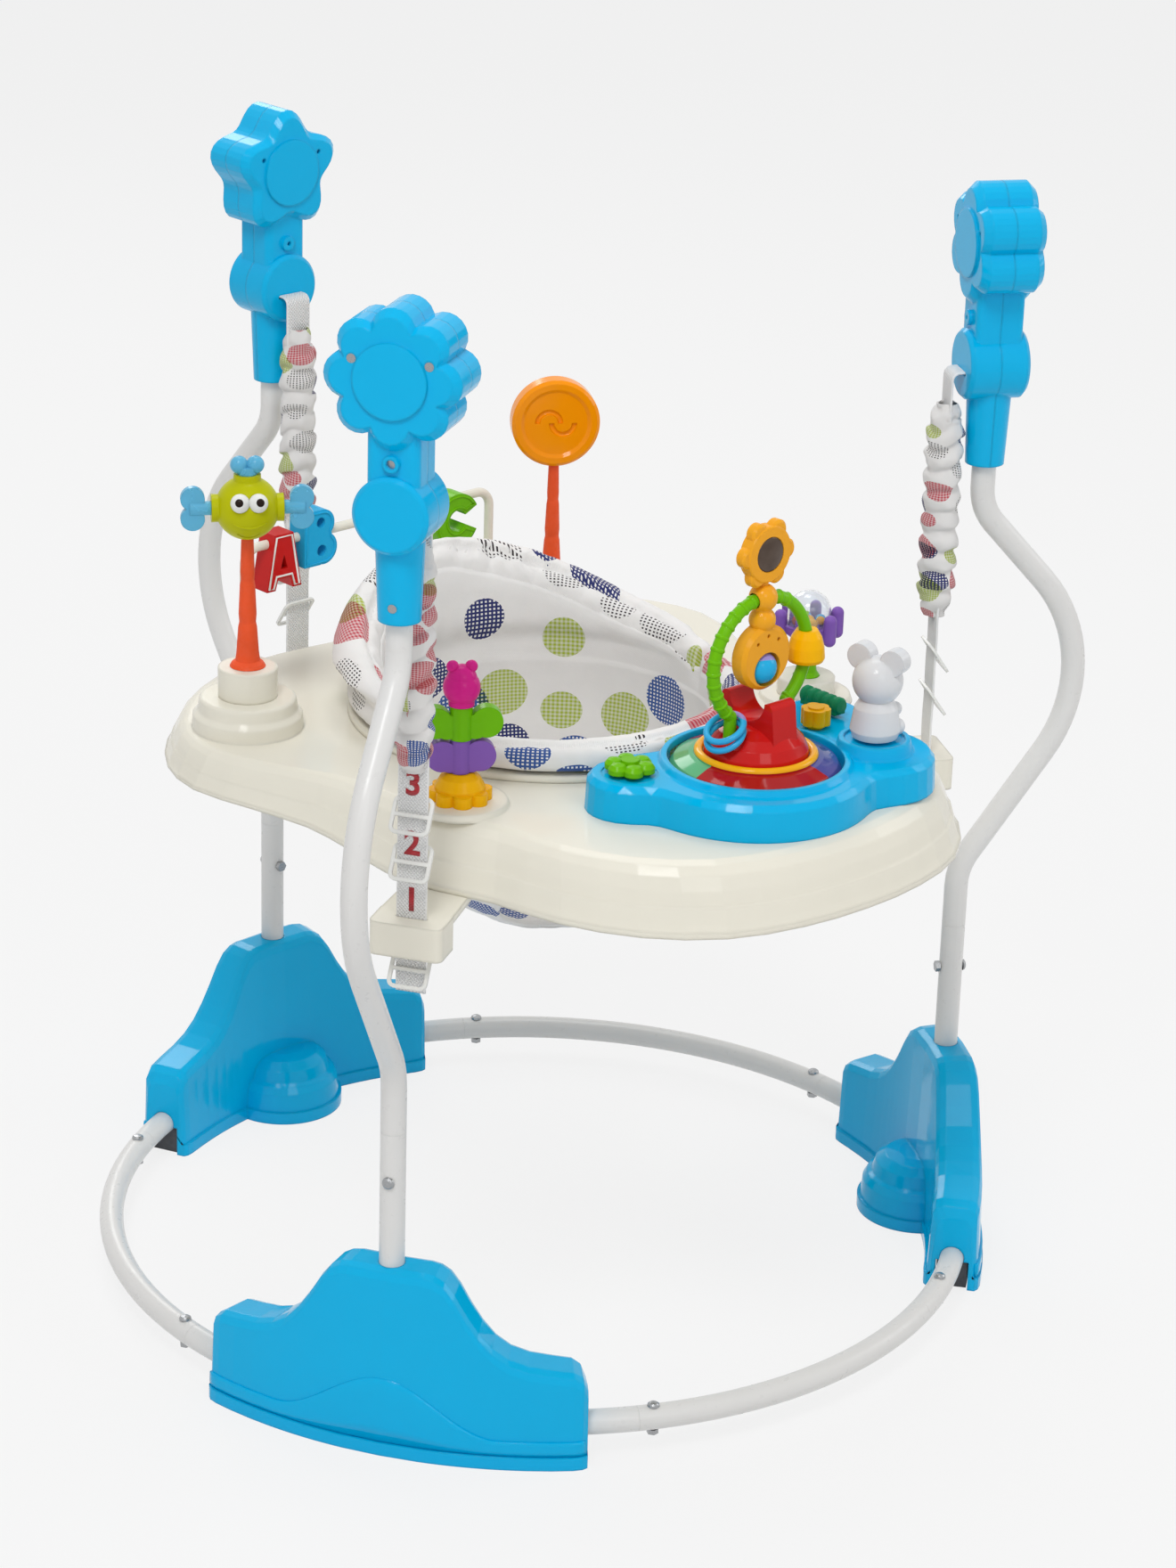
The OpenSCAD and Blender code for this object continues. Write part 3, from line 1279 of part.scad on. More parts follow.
module panel_body() {
  color("deepskyblue") centred() difference() {
    union() {
      difference() {
        loft([panel_sec(panel_edge, panel_z), panel_sec(over, panel_z - panel_edge), panel_sec(0, tray_z)]);
        translate([0, 0, tray_z - over]) cylinder(r = panel_seat_r, h = panel_h + 2 * over);
        difference() {
          for (l = lobes(panel_wall + panel_edge)) translate([l[0], l[1], tray_z - over])
            cylinder(r = l[2], h = panel_h - panel_wall + over);
          translate([0, -table_y, table_z - panel_wall * 2]) cylinder(r = table_r + panel_wall * 2,
            h = panel_h);
          cylinder(r = panel_seat_r + panel_wall, h = panel_z);
        }
      }
      for (p = [flower_at, bear_at, worm_at, gift_at]) translate([p[0], p[1], tray_z])
        cylinder(r = stem_r + panel_wall, h = panel_h - panel_wall);
      translate([0, -table_y, panel_z - panel_wall / 2]) cylinder(r1 = table_r + panel_wall * 2.6,
        r2 = table_r + panel_wall * 1.6, h = panel_wall * 1.5);
      translate([bear_at[0], bear_at[1], panel_z - panel_wall / 2]) cylinder(r1 = bear_r + panel_wall * 3,
        r2 = bear_r + panel_wall * 2, h = bear_rise + panel_wall / 2 + over);
    }
    translate([0, -table_y, table_z - part_gap]) difference() {
      cylinder(r = table_r + panel_wall / 2, h = panel_h);
      translate([0, 0, -over]) cylinder(r = stem_r, h = table_h * 0.7);
    }
    translate([flower_at[0], flower_at[1], panel_z - over])
      cylinder(r = flower_r + panel_wall / 2, h = panel_h);
    translate([bear_at[0], bear_at[1], panel_z + bear_rise - over])
      cylinder(r = bear_r + panel_wall, h = panel_h);
    stem_bore(flower_at, stem_r);
    stem_bore(bear_at, stem_r);
    stem_bore(worm_at, stem_r);
    stem_bore(gift_at, stem_r);
  }
}

module at_panel(p, z) {
  translate([p[0], p[1], z]) children();
}

module stem(z) {
  translate([0, 0, tray_z + press + seat_gap - z]) cylinder(r = stem_r, h = z - tray_z - press - seat_gap
    + over);
}

module flower_button() {
  z = panel_z - over + press + part_gap;
  color("limegreen") centred() at_panel(flower_at, z) {
    for (k = [0 : 5]) rotate([0, 0, k * full_turn / 6]) translate([flower_r * 0.62, 0, 0])
      rotate_extrude() polygon([[0, 0], [flower_r * 0.38, 0], [flower_r * 0.38, flower_r * 0.2],
        [flower_r * 0.26, flower_r * 0.36], [0, flower_r * 0.42]]);
    cylinder(r = flower_r * 0.36, h = flower_r * 0.44);
    stem(z);
  }
}

module yellow_button() {
  z = panel_z + press + part_gap;
  color("gold") centred() at_panel(gift_at, z) {
    linear_extrude(height = gift_r * 1.1) union() {
      for (k = [0 : 5]) rotate([0, 0, k * full_turn / 6]) translate([gift_r * 0.5, 0])
        circle(r = gift_r * 0.5);
      circle(r = gift_r * 0.6);
    }
    cylinder(r = gift_r * 0.54, h = gift_r * 1.2);
    stem(z);
  }
}

module worm_button() {
  z = panel_z + press + part_gap;
  r = worm_l * 0.3;
  step = worm_l * 0.36;
  color("seagreen") centred() at_panel(worm_at, z) {
    translate([0, 0, r]) rotate([quarter, 0, 0]) rotate_extrude() polygon(concat([[0, -step * 2.5]],
      [for (k = [-2 : 2], s = ridge_shares) [r * s[0], step * (k + s[1])]], [[0, step * 2.5]]));
    translate([-r * 0.8, -worm_l * 0.8, 0]) cube([r * 1.6, worm_l * 1.6, r]);
    stem(z);
  }
}

module bear() {
  z = panel_z + bear_rise - over + press + part_gap;
  r = bear_head_r;
  color("white") centred() at_panel(bear_at, z) rotate([0, 0, bear_look]) {
    rotate_extrude() polygon([[0, 0], [bear_r * 0.9, 0], [bear_r, bear_r * 0.3],
      [bear_r * 0.86, bear_r * 1.2],
      [bear_r * 0.56, bear_r * 1.7], [0, bear_r * 1.7]]);
    for (s = [-1, 1]) {
      translate([bear_r * 0.6, s * bear_r * 0.62, bear_r * 0.34]) sphere(r = bear_r * 0.34);
      translate([bear_r * 0.62, s * bear_r * 0.5, bear_r * 1.05]) sphere(r = bear_r * 0.28);
      translate([0, s * r * 0.72, bear_r * 1.7 + r * 1.5]) rotate([0, quarter, 0])
        cylinder(r = r * 0.52, h = r * 0.6, center = true);
    }
    translate([0, 0, bear_r * 1.5 + r * 0.8]) sphere(r = r);
    translate([r * 0.75, 0, bear_r * 1.5 + r * 0.6]) sphere(r = r * 0.45);
    stem(z);
  }
}

// Turntable and rattle
module at_table(z) {
  translate([0, -table_y, z]) children();
}

cradle_z = table_top + slip;
horn_r = cradle_r * 0.14;
peg_r = sun_t * 0.3;
neck_z = loop_z + ring_loop_r;
body_z = loop_z + over * 3;
ball_z = body_z - rattle_r * 0.36;
wire_r = ring_loop_d / 2;
collar_r = wire_r + part_gap + over * 6;
sun_z = neck_z + collar_r + sun_r * 0.8 + over * 2;

module turntable() {
  w = panel_wall;
  color("firebrick") centred() at_table(table_z) {
    rotate_extrude() polygon([[stem_r + slip, 0], [stem_r + w, 0], [stem_r + w, table_h - w],
      [table_r * 0.68, table_h - w * 1.2], [table_r * 0.86, table_h * 0.5], [table_r * 0.92, 0],
      [table_r, 0], [table_r, table_h * 0.3], [table_r * 0.95, table_h * 0.62],
        [table_r * 0.78, table_h * 0.9],
      [table_r * 0.64, table_h], [stem_r + slip, table_h]]);
    translate([0, 0, table_h]) rotate_extrude() translate([cradle_r + part_gap + w * 0.9, 0])
      circle(r = w * 0.9);
  }
}

module cradle() {
  color("red") centred() at_table(cradle_z) difference() {
    union() {
      rotate_extrude() polygon([[0, 0], [cradle_r, 0], [cradle_r * 0.985, cradle_h * 0.2],
        [cradle_r * 0.9, cradle_h * 0.48], [cradle_r * 0.74, cradle_h * 0.74],
          [cradle_r * 0.5, cradle_h * 0.93],
        [cradle_r * 0.25, cradle_h], [0, cradle_h]]);
      along_x(cradle_r * 0.62) difference() {
        union() {
          polygon([[-cradle_r * 0.8, over], [cradle_r * 0.8, over], [horn_y + horn_r, horn_h - horn_r],
            [-horn_y - horn_r, horn_h - horn_r]]);
          for (s = [-1, 1]) translate([s * horn_y, horn_h - horn_r]) circle(r = horn_r);
        }
        translate([0, horn_h]) circle(r = horn_y - horn_r / 2);
      }
    }
    translate([0, 0, -over]) cylinder(r1 = cradle_r * 0.55, r2 = cradle_r * 0.3, h = cradle_h * 0.6);
    for (s = [-1, 1]) translate([s * loop_leg_x, 0, cradle_h * 0.25])
      cylinder(r = wire_r + slip, h = horn_h);
  }
}

module rattle_loop() {
  a = acos(loop_leg_x / ring_loop_r);
  end = loop_z - ring_loop_r * sin(a);
  low = cradle_z + cradle_h * 0.25 + seat_gap;
  color("limegreen") centred() at_table(0) {
    translate([0, 0, loop_z]) rotate([quarter, 0, 0]) arc_rod(ring_loop_r, wire_r, -a, half_turn + 2 * a);
    for (s = [-1, 1]) {
      translate([s * loop_leg_x, 0, low]) cylinder(r = wire_r, h = end - low);
      translate([s * loop_leg_x, 0, end]) sphere(r = wire_r);
    }
  }
}

module loop_cut(r) {
  translate([0, 0, loop_z]) rotate([quarter, 0, 0]) rotate_extrude() translate([ring_loop_r, 0])
    circle(r = r);
}

module rattle_body() {
  r = rattle_r * 0.45;
  color("orange") centred() at_table(0) difference() {
    union() {
      translate([0, 0, body_z]) bevel_disc(rattle_r, rattle_t / 2, over * 3);
      translate([0, 0, body_z + rattle_r * 0.8]) cylinder(r = rattle_t / 2 - over, h = neck_z - body_z
        - rattle_r * 0.8);
      translate([0, 0, neck_z]) cylinder(r = peg_r, h = collar_r + peg_r * 2);
      translate([0, 0, body_z + rattle_r * 1.12]) sphere(r = r * 0.9);
      translate([0, 0, neck_z]) sphere(r = collar_r);
    }
    translate([0, 0, ball_z]) rotate([quarter, 0, 0]) cylinder(r = ball_r + part_gap * 2, h = rattle_t * 2,
      center = true);
    translate([0, 0, ball_z]) rotate([0, quarter, 0])
      cylinder(r = over * 2 + slip, h = 2 * ball_r + over * 8,
      center = true);
    loop_cut(wire_r + over);
    for (k = [-1, 0, 1]) translate([k * rattle_r * 0.42, 0, body_z + rattle_r * (k == 0 ? 0.68
      : 0.5)]) rotate([quarter, 0, 0]) cylinder(r = over * 1.5, h = rattle_t * 2, center = true);
  }
}

module rattle_ball() {
  color("royalblue") centred() at_table(ball_z) {
    sphere(r = ball_r);
    rotate([0, quarter, 0]) cylinder(r = over * 2, h = 2 * ball_r + over * 7, center = true);
  }
}

module sun_mirror() {
  p = sun_r * 0.3;
  color("orange") centred() at_table(sun_z) difference() {
    union() {
      bevel_disc(sun_r * 0.8, sun_t / 2, over);
      for (k = [0 : 5]) rotate([0, (k + 0.5) * full_turn / 6, 0]) translate([0, 0, sun_r - p])
        bevel_disc(p, sun_t / 2 - over, over * 2);
    }
    translate([0, 0, neck_z - sun_z]) cylinder(r = peg_r + slip, h = collar_r + peg_r * 2 + seat_gap);
    for (s = [-1, 1]) translate([0, s * (sun_t / 2), 0]) rotate([quarter, 0, 0]) cylinder(r = mirror_r,
      h = over * 2, center = true);
  }
}

module loop_bead() {
  color("gold") centred() at_table(0) difference() {
    translate([ring_loop_r, 0, loop_z]) rotate_extrude()
      polygon([[0, -bead_r * 0.8], [bead_r * 0.92, -bead_r * 0.8],
      [bead_r, -bead_r * 0.62], [bead_r * 0.94, 0], [bead_r * 0.8, bead_r * 0.5],
        [bead_r * 0.56, bead_r * 0.9],
      [0, bead_r * 0.9]]);
    loop_cut(wire_r + slip);
  }
}

module link_rings() {
  r = link_d / 2;
  x = -loop_leg_x + wire_r + r + part_gap;
  color("mediumpurple") centred() at_table(cradle_z) {
    translate([x, 0, cradle_h * 0.82 + link_d * 1.6]) rotate([0, -34, 0]) translate([-link_r, 0, 0])
      rotate_extrude() translate([link_r, 0]) circle(r = r);
    translate([x, 0, cradle_h * 0.82 + link_d * 2.8]) rotate([0, -30, 0]) translate([-link_r, 0, 0])
      rotate_extrude() translate([link_r, 0]) circle(r = r);
  }
}

// Spinner
spin_z = spin_cup_z + spin_cup_h;
bowl_z = spin_z + spin_post_h;

module at_spin(z) {
  at_polar(side_station_r, 330) translate([0, 0, z]) children();
}

module spinner_post() {
  color("green") centred() at_spin(spin_z) {
    rotate_extrude() polygon([[0, seat_gap], [spin_post_d * 0.8, seat_gap],
      [spin_post_d * 0.6, spin_post_d * 0.3],
      [spin_post_d / 2, spin_post_h * 0.5], [spin_post_d * 0.62, spin_post_h - part_gap], [0, spin_post_h
        - part_gap]]);
    cylinder(r = stem_r - over * 2, h = spin_post_h + spin_bowl_r * 0.4);
    translate([0, 0, -spin_cup_h * 0.55]) cylinder(r = stem_r - slip, h = spin_cup_h * 0.6);
  }
}

module spinner_bowl() {
  r = spin_bowl_r;
  color("mediumpurple") centred() at_spin(bowl_z) difference() {
    union() {
      rotate_extrude() polygon([[0, 0], [r * 0.6, 0], [r * 0.95, r * 0.3], [r, r * 0.6], [0, r * 0.6]]);
      for (k = [0 : spin_petals - 1]) rotate([0, 0, k * full_turn / spin_petals]) {
        translate([r * 1.1, 0, r * 0.2]) cylinder(r = r * 0.24, h = r * 0.75);
        translate([r * 1.1, 0, r * 0.95]) sphere(r = r * 0.24);
        translate([r * 1.1, 0, r * 0.2]) sphere(r = r * 0.24);
      }
    }
    translate([0, 0, r * 0.5]) cylinder(r = spin_dome_r + slip, h = r);
    translate([0, 0, -over]) cylinder(r = stem_r - over * 2 + slip, h = r * 0.4 + over + part_gap);
  }
}

module spinner_dome() {
  r = spin_dome_r;
  w = over * 1.5;
  h = spin_bowl_r * 0.55;
  color("aliceblue", 0.4) centred() at_spin(bowl_z + spin_bowl_r * 0.5) difference() {
    union() {
      cylinder(r = r, h = h);
      translate([0, 0, h]) sphere(r = r);
    }
    translate([0, 0, -r * 2]) cylinder(r = r * 2, h = r * 2);
    translate([0, 0, -over]) cylinder(r = r - w, h = h + over);
    translate([0, 0, h]) sphere(r = r - w);
  }
}

module spinner_balls() {
  r = spin_ball_r;
  color("orange") centred() at_spin(bowl_z + spin_bowl_r * 0.5 + r + seat_gap) {
    for (k = [0 : 3]) rotate([0, 0, k * quarter]) translate([spin_dome_r * 0.55, 0, 0]) sphere(r = r);
    sphere(r = r);
  }
}

base_tubes();
foot_tubes();
foot_pads();
foot_cover_rear();
foot_cover_left();
foot_cover_right();
frame_bolts();
lower_posts();
upper_posts();
star_head_outer();
star_head_inner();
flower_head_outer();
flower_head_inner();
cloud_head_outer();
cloud_head_inner();
head_screws();
top_webbing();
spring_sleeves();
suspension_springs();
lower_straps();
strap_rings();
tray_shell();
tray_frame();
seat_ring();
rim_pad();
seat_back();
seat_sling();
toy_cups();
fish_stalk();
fish_body();
fish_eyes();
fish_fins();
wire_arch();
letter_a();
letter_b();
letter_c();
lollipop_stalk();
lollipop_disc();
stack_base();
stack_lower();
stack_middle();
stack_top();
panel_body();
flower_button();
yellow_button();
worm_button();
bear();
turntable();
cradle();
rattle_loop();
rattle_body();
rattle_ball();
sun_mirror();
loop_bead();
link_rings();
spinner_post();
spinner_bowl();
spinner_dome();
spinner_balls();
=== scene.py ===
import math

import bmesh
import bpy
from mathutils import Matrix, Vector, noise
from mathutils.bvhtree import BVHTree


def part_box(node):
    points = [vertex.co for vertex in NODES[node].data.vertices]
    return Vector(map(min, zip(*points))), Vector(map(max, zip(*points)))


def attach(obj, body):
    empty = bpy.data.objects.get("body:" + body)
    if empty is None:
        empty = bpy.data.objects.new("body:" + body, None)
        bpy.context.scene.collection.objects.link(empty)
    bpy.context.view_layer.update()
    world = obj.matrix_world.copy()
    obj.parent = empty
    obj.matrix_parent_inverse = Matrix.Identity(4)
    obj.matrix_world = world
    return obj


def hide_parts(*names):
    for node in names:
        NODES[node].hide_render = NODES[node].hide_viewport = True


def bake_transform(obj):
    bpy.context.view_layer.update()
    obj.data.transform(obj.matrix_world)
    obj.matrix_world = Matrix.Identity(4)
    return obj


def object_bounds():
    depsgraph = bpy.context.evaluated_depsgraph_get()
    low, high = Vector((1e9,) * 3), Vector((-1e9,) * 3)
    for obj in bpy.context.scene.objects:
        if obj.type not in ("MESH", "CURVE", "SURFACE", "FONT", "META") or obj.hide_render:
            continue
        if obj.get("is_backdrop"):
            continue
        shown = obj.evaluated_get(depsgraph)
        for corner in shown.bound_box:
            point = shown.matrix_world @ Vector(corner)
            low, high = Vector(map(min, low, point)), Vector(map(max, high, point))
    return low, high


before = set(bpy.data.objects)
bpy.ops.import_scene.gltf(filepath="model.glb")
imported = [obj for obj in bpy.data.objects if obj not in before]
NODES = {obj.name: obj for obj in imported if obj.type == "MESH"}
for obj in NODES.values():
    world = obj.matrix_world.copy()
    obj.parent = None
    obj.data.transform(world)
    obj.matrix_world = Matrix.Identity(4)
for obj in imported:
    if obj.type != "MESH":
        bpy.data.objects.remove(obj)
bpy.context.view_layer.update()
SCENE = bpy.context.scene

# Sizes in metres, the same as in the solids
RING = Vector((0, -0.045, 0))
POST_ANGLES = (90, 210, 330)
STRAP_R = 0.325
SOCKET_LOW = 0.6807
WEB_W = 0.024
WEB_T = 0.0019
SPRING_R = 0.0104
SLEEVE_T = 0.0006
TABLE = Vector((0, -0.285, 0.521))
LOOP_Z = 0.597
LOOP_R = 0.050
LOOP_WIRE = 0.005
FISH = Vector((-0.21304, 0.078, 0.6675))
FISH_R = 0.0255
FISH_LOOK = 236
ARCH = Vector((0, 0.183, 0.588))
LETTER_H = 0.048
LETTER_T = 0.020
SPIN = Vector((0.18879, -0.154, 0.546))
FOOT_SPAN = 24.5
RIM_IN = 0.136
PAD_Z = 0.4895
CREST_R = 0.1462
RIM_SEAM_R = 0.1565
LINING_R = 0.1450
BAG_R, BAG_H, BAG_TOP = 0.1380, 0.1735, 0.478
LEG_R, LEG_TURN, LEG_TILT = 0.044, 38, 22
LEG_OUT, LEG_Z = 0.0435, 0.3574
UP = Vector((0, 0, 1))


def linear(r, g, b):
    """A colour given as 0 to 255 in a picture, as the shader's linear numbers."""
    return tuple(c / 12.92 if c <= 0.04045 else ((c + 0.055) / 1.055) ** 2.4 for c in (r / 255, g / 255, b / 255))


def darker(colour, share):
    """A colour at a share of its brightness."""
    return tuple(share * c for c in colour)


BLUE = linear(0, 178, 230)
CREAM = linear(232, 228, 214)
WHITE = linear(222, 221, 219)
CLOTH = linear(240, 238, 236)
LIME = linear(188, 190, 4)
FIN = linear(104, 194, 232)
RED_ORANGE = linear(240, 82, 24)
RED = linear(203, 26, 24)
SKY = linear(36, 174, 226)
GREEN = linear(110, 186, 8)
LEAF = linear(20, 130, 84)
ORANGE = linear(250, 150, 4)
AMBER = linear(240, 166, 34)
YELLOW = linear(248, 184, 6)
PURPLE = linear(132, 92, 178)
LILAC = linear(158, 140, 206)
PINK = linear(216, 36, 138)
BEAR = linear(218, 219, 221)
GREY = linear(70, 72, 76)
DARK = linear(38, 26, 20)
STEEL = linear(176, 178, 180)
MARK_RED = linear(196, 30, 44)
INKS = [linear(176, 196, 46), linear(50, 92, 170), linear(206, 50, 72), linear(32, 42, 112), linear(48, 38, 44)]
GINGHAM, HALFTONE, SPOTS = (1, 0, 0), (0, 1, 0), (0, 0, 1)
INK_KINDS = [GINGHAM, HALFTONE, GINGHAM, HALFTONE, SPOTS]
# Most of a noise texture's values lie between these
UNEVEN = (0.3, 0.7)


# Materials
class Shader:
    """One material's nodes. A value that varies over the surface is linked, and any other is set on its socket."""

    def __init__(self, name, colour, rough, **sockets):
        self.mat = bpy.data.materials.new(name)
        self.mat.use_nodes = True
        self.tree = self.mat.node_tree
        self.bsdf = self.tree.nodes["Principled BSDF"]
        self.normal = None
        self.put("Base Color", (*colour, 1))
        self.put("Roughness", rough)
        for key, value in sockets.items():
            self.put(key.replace("_", " "), value)

    def put(self, socket, value):
        if isinstance(socket, str):
            socket = self.bsdf.inputs[socket]
        if isinstance(value, bpy.types.NodeSocket):
            self.tree.links.new(value, socket)
        else:
            socket.default_value = value

    def node(self, kind, inputs=(), **settings):
        made = self.tree.nodes.new("ShaderNode" + kind)
        for key, value in settings.items():
            setattr(made, key, value)
        for key, value in dict(inputs).items():
            self.put(made.inputs[key], value)
        return made

    def place(self):
        return self.node("TexCoord").outputs["Object"]

    def cloth(self):
        return self.node("Attribute", attribute_name="cloth").outputs["Vector"]

    def math(self, operation, a, b=0.0):
        return self.node("Math", {0: a, 1: b}, operation=operation).outputs[0]

    def shift(self, vector, offset, scale=(1, 1, 1)):
        return self.node("Mapping", {"Vector": vector, "Location": offset, "Scale": scale}).outputs[0]

    def parts(self, vector):
        return self.node("SeparateXYZ", {0: vector}).outputs

    def noise(self, vector, scale, detail=3.0):
        return self.node("TexNoise", {"Vector": vector, "Scale": scale, "Detail": detail}).outputs["Fac"]

    def span(self, value, low, high, start=0.0, end=1.0):
        """Low to high as the value goes from start to end."""
        return self.node("MapRange", {0: value, 1: start, 2: end, 3: low, 4: high}).outputs[0]

    def mix(self, factor, a, b, blend="MIX"):
        made = self.node("Mix", data_type="RGBA", blend_type=blend)
        self.put(made.inputs[0], factor)
        for k, value in ((6, a), (7, b)):
            self.put(made.inputs[k], (*value, 1) if isinstance(value, tuple) and len(value) == 3 else value)
        return made.outputs[2]

    def steps(self, value, colours, edges):
        """Flat colours side by side: the first up to the first edge, and so on."""
        made = self.node("ValToRGB", {0: value})
        ramp = made.color_ramp
        ramp.interpolation = "CONSTANT"
        while len(ramp.elements) < len(colours):
            ramp.elements.new(0.5)
        for element, at, colour in zip(ramp.elements, [0.0] + list(edges), colours):
            element.position = at
            element.color = (*colour, 1)
        return made.outputs[0]

    def rounded(self, radius):
        """Moulded edges that catch the light, under the bump that follows."""
        self.normal = self.node("Bevel", {"Radius": radius}, samples=6).outputs[0]

    def bump(self, height, distance, strength=1.0):
        links = {"Height": height, "Distance": distance, "Strength": strength}
        if self.normal is not None:
            links["Normal"] = self.normal
        self.normal = self.node("Bump", links).outputs[0]
        self.put("Normal", self.normal)


def plastic(name, colour, rough, coat=0.1, tint=None, edge=0.0012, **sockets):
    """Glossy moulded plastic: slow shade changes, uneven gloss, a fine orange-peel skin. tint makes other colours."""
    sh = Shader(name, colour, rough, Coat_Weight=coat, Coat_Roughness=0.06, IOR=1.5, Specular_IOR_Level=0.06,
                **sockets)
    place = sh.place()
    base = tint(sh, place) if tint else colour
    cloud = sh.noise(place, 11)
    sh.put("Base Color", sh.mix(sh.span(cloud, 0.0, 0.16, *UNEVEN), base, darker(colour, 0.86)))
    sh.put("Roughness", sh.span(sh.noise(place, 55), rough * 0.85, rough * 1.2, *UNEVEN))
    sh.rounded(edge)
    sh.bump(sh.noise(place, 260, 1.0), 0.00004)
    return sh.mat


def painted_tube():
    """White powder coat with a fine texture."""
    sh = Shader("white_powder_coat", WHITE, 0.32, Coat_Weight=0.1, Coat_Roughness=0.2, IOR=1.5,
                Specular_IOR_Level=0.35)
    place = sh.place()
    sh.put("Base Color", sh.mix(sh.span(sh.noise(place, 7), 0.0, 0.1, 0.35, 0.7), WHITE, darker(WHITE, 0.86)))
    sh.put("Roughness", sh.span(sh.noise(place, 160), 0.26, 0.4, *UNEVEN))
    sh.rounded(0.001)
    sh.bump(sh.noise(place, 900, 2.0), 0.00003)
    return sh.mat


def zinc():
    """Plated steel with drawn lines."""
    sh = Shader("zinc_plated_steel", STEEL, 0.3, Metallic=1.0)
    lines = sh.noise(sh.shift(sh.place(), (0, 0, 0), (1, 1, 14)), 420)
    sh.put("Base Color", sh.mix(lines, STEEL, darker(STEEL, 0.7)))
    sh.put("Roughness", sh.span(lines, 0.2, 0.42, *UNEVEN))
    sh.bump(lines, 0.00005)
    return sh.mat


def rubber(name, colour):
    """Matt rubber or soft plastic."""
    sh = Shader(name, colour, 0.6)
    place = sh.place()
    sh.put("Base Color", sh.mix(sh.span(sh.noise(place, 40), 0.0, 0.5, *UNEVEN), colour, darker(colour, 0.75)))
    sh.put("Roughness", sh.span(sh.noise(place, 240), 0.5, 0.75, *UNEVEN))
    sh.bump(sh.noise(place, 700), 0.0001)
    return sh.mat


def clear(name, colour, rough=0.03):
    """Clear plastic with slight ripples."""
    sh = Shader(name, colour, rough, Transmission_Weight=0.92, IOR=1.4)
    place = sh.place()
    sh.put("Roughness", sh.span(sh.noise(place, 90), rough, rough * 3, 0.35, 0.7))
    sh.bump(sh.noise(place, 60), 0.00006)
    return sh.mat


def mirror():
    """A dark plastic mirror with a little haze."""
    sh = Shader("dark_mirror", linear(92, 84, 78), 0.05, Metallic=1.0)
    haze = sh.noise(sh.place(), 70)
    sh.put("Base Color", sh.mix(haze, linear(66, 52, 44), linear(104, 92, 84)))
    sh.put("Roughness", sh.span(haze, 0.03, 0.12, *UNEVEN))
    return sh.mat


def weave(sh, cloth, thread, depth):
    """Fine over-and-under threads as bump, and how high each place is."""
    u, v, _ = sh.parts(sh.shift(cloth, (0, 0, 0), (math.pi / thread,) * 3))
    height = sh.math("MULTIPLY", sh.math("SINE", u), sh.math("SINE", v))
    sh.bump(height, depth)
    return height


def printed_dots(sh, cloth, cell, offset, share, dash):
    """A white layer with one round blot in a share of its cells: each ink is a gingham, a halftone or small spots."""
    moved = sh.shift(cloth, offset)
    cells = sh.node("TexVoronoi", {"Vector": moved, "Scale": 1 / cell, "Randomness": 0.5}, voronoi_dimensions="2D")
    chance = sh.node("SeparateColor", {0: cells.outputs["Color"]}).outputs
    inside = sh.math("LESS_THAN", cells.outputs["Distance"], sh.span(chance[0], 0.20, 0.40))
    inside = sh.math("MULTIPLY", inside, sh.math("LESS_THAN", chance[2], share))
    edges = [k / len(INKS) for k in range(1, len(INKS))]
    ink = sh.steps(chance[1], INKS, edges)
    kind = sh.steps(chance[1], INK_KINDS, edges)
    u, v, _ = sh.parts(sh.shift(moved, (0, 0, 0), (math.pi / dash,) * 3))
    u, v = (sh.math("GREATER_THAN", sh.math("SINE", wave), 0.0) for wave in (u, v))
    both = sh.math("MULTIPLY", u, v)
    gingham = sh.span(sh.math("ADD", u, v), 0.38, 1.0, 0.0, 2.0)
    amounts = sh.node("CombineXYZ", {0: gingham, 1: sh.math("SUBTRACT", 1.0, both), 2: both}).outputs[0]
    amount = sh.node("VectorMath", {0: kind, 1: amounts}, operation="DOT_PRODUCT").outputs["Value"]
    return sh.mix(sh.math("MULTIPLY", inside, amount), (1.0, 1.0, 1.0), ink)


def dotted_cloth(name, shares):
    """Cotton with two layers of printed dots, each in its share of the cells."""
    sh = Shader(name, CLOTH, 0.85, Sheen_Weight=0.15, Sheen_Roughness=0.5)
    cloth = sh.cloth()
    weave(sh, cloth, 0.0007, 0.00012)
    # The cloth colour darkens with the crease noise: painted shade in the creases.
    crease = sh.noise(sh.place(), 38, 2.0)
    base = sh.mix(sh.span(crease, 0.0, 0.14, 0.35, 0.7), CLOTH, darker(CLOTH, 0.84))
    large = printed_dots(sh, cloth, 0.069, (0.31, 0.17, 0), shares[0], 0.0019)
    small = printed_dots(sh, cloth, 0.076, (1.73, 0.52, 0), shares[1], 0.0017)
    sh.put("Base Color", sh.mix(1.0, sh.mix(1.0, base, large, "MULTIPLY"), small, "MULTIPLY"))
    sh.put("Roughness", sh.span(crease, 0.75, 0.95, *UNEVEN))
    sh.bump(crease, 0.0012, 0.5)
    return sh.mat


def webbing():
    """White woven webbing with painted shade, in grey, between its threads."""
    sh = Shader("white_webbing", linear(230, 230, 230), 0.8, Sheen_Weight=0.2, Sheen_Roughness=0.5)
    height = weave(sh, sh.cloth(), 0.0015, 0.0004)
    # Grey where the weave is low: painted shade between the threads.
    sh.put("Base Color", sh.mix(sh.span(height, 0.0, 0.35, 0.3, -0.6), linear(234, 234, 233), linear(180, 180, 184)))
    sh.put("Roughness", sh.span(height, 0.7, 0.92, -1, 1))
    return sh.mat


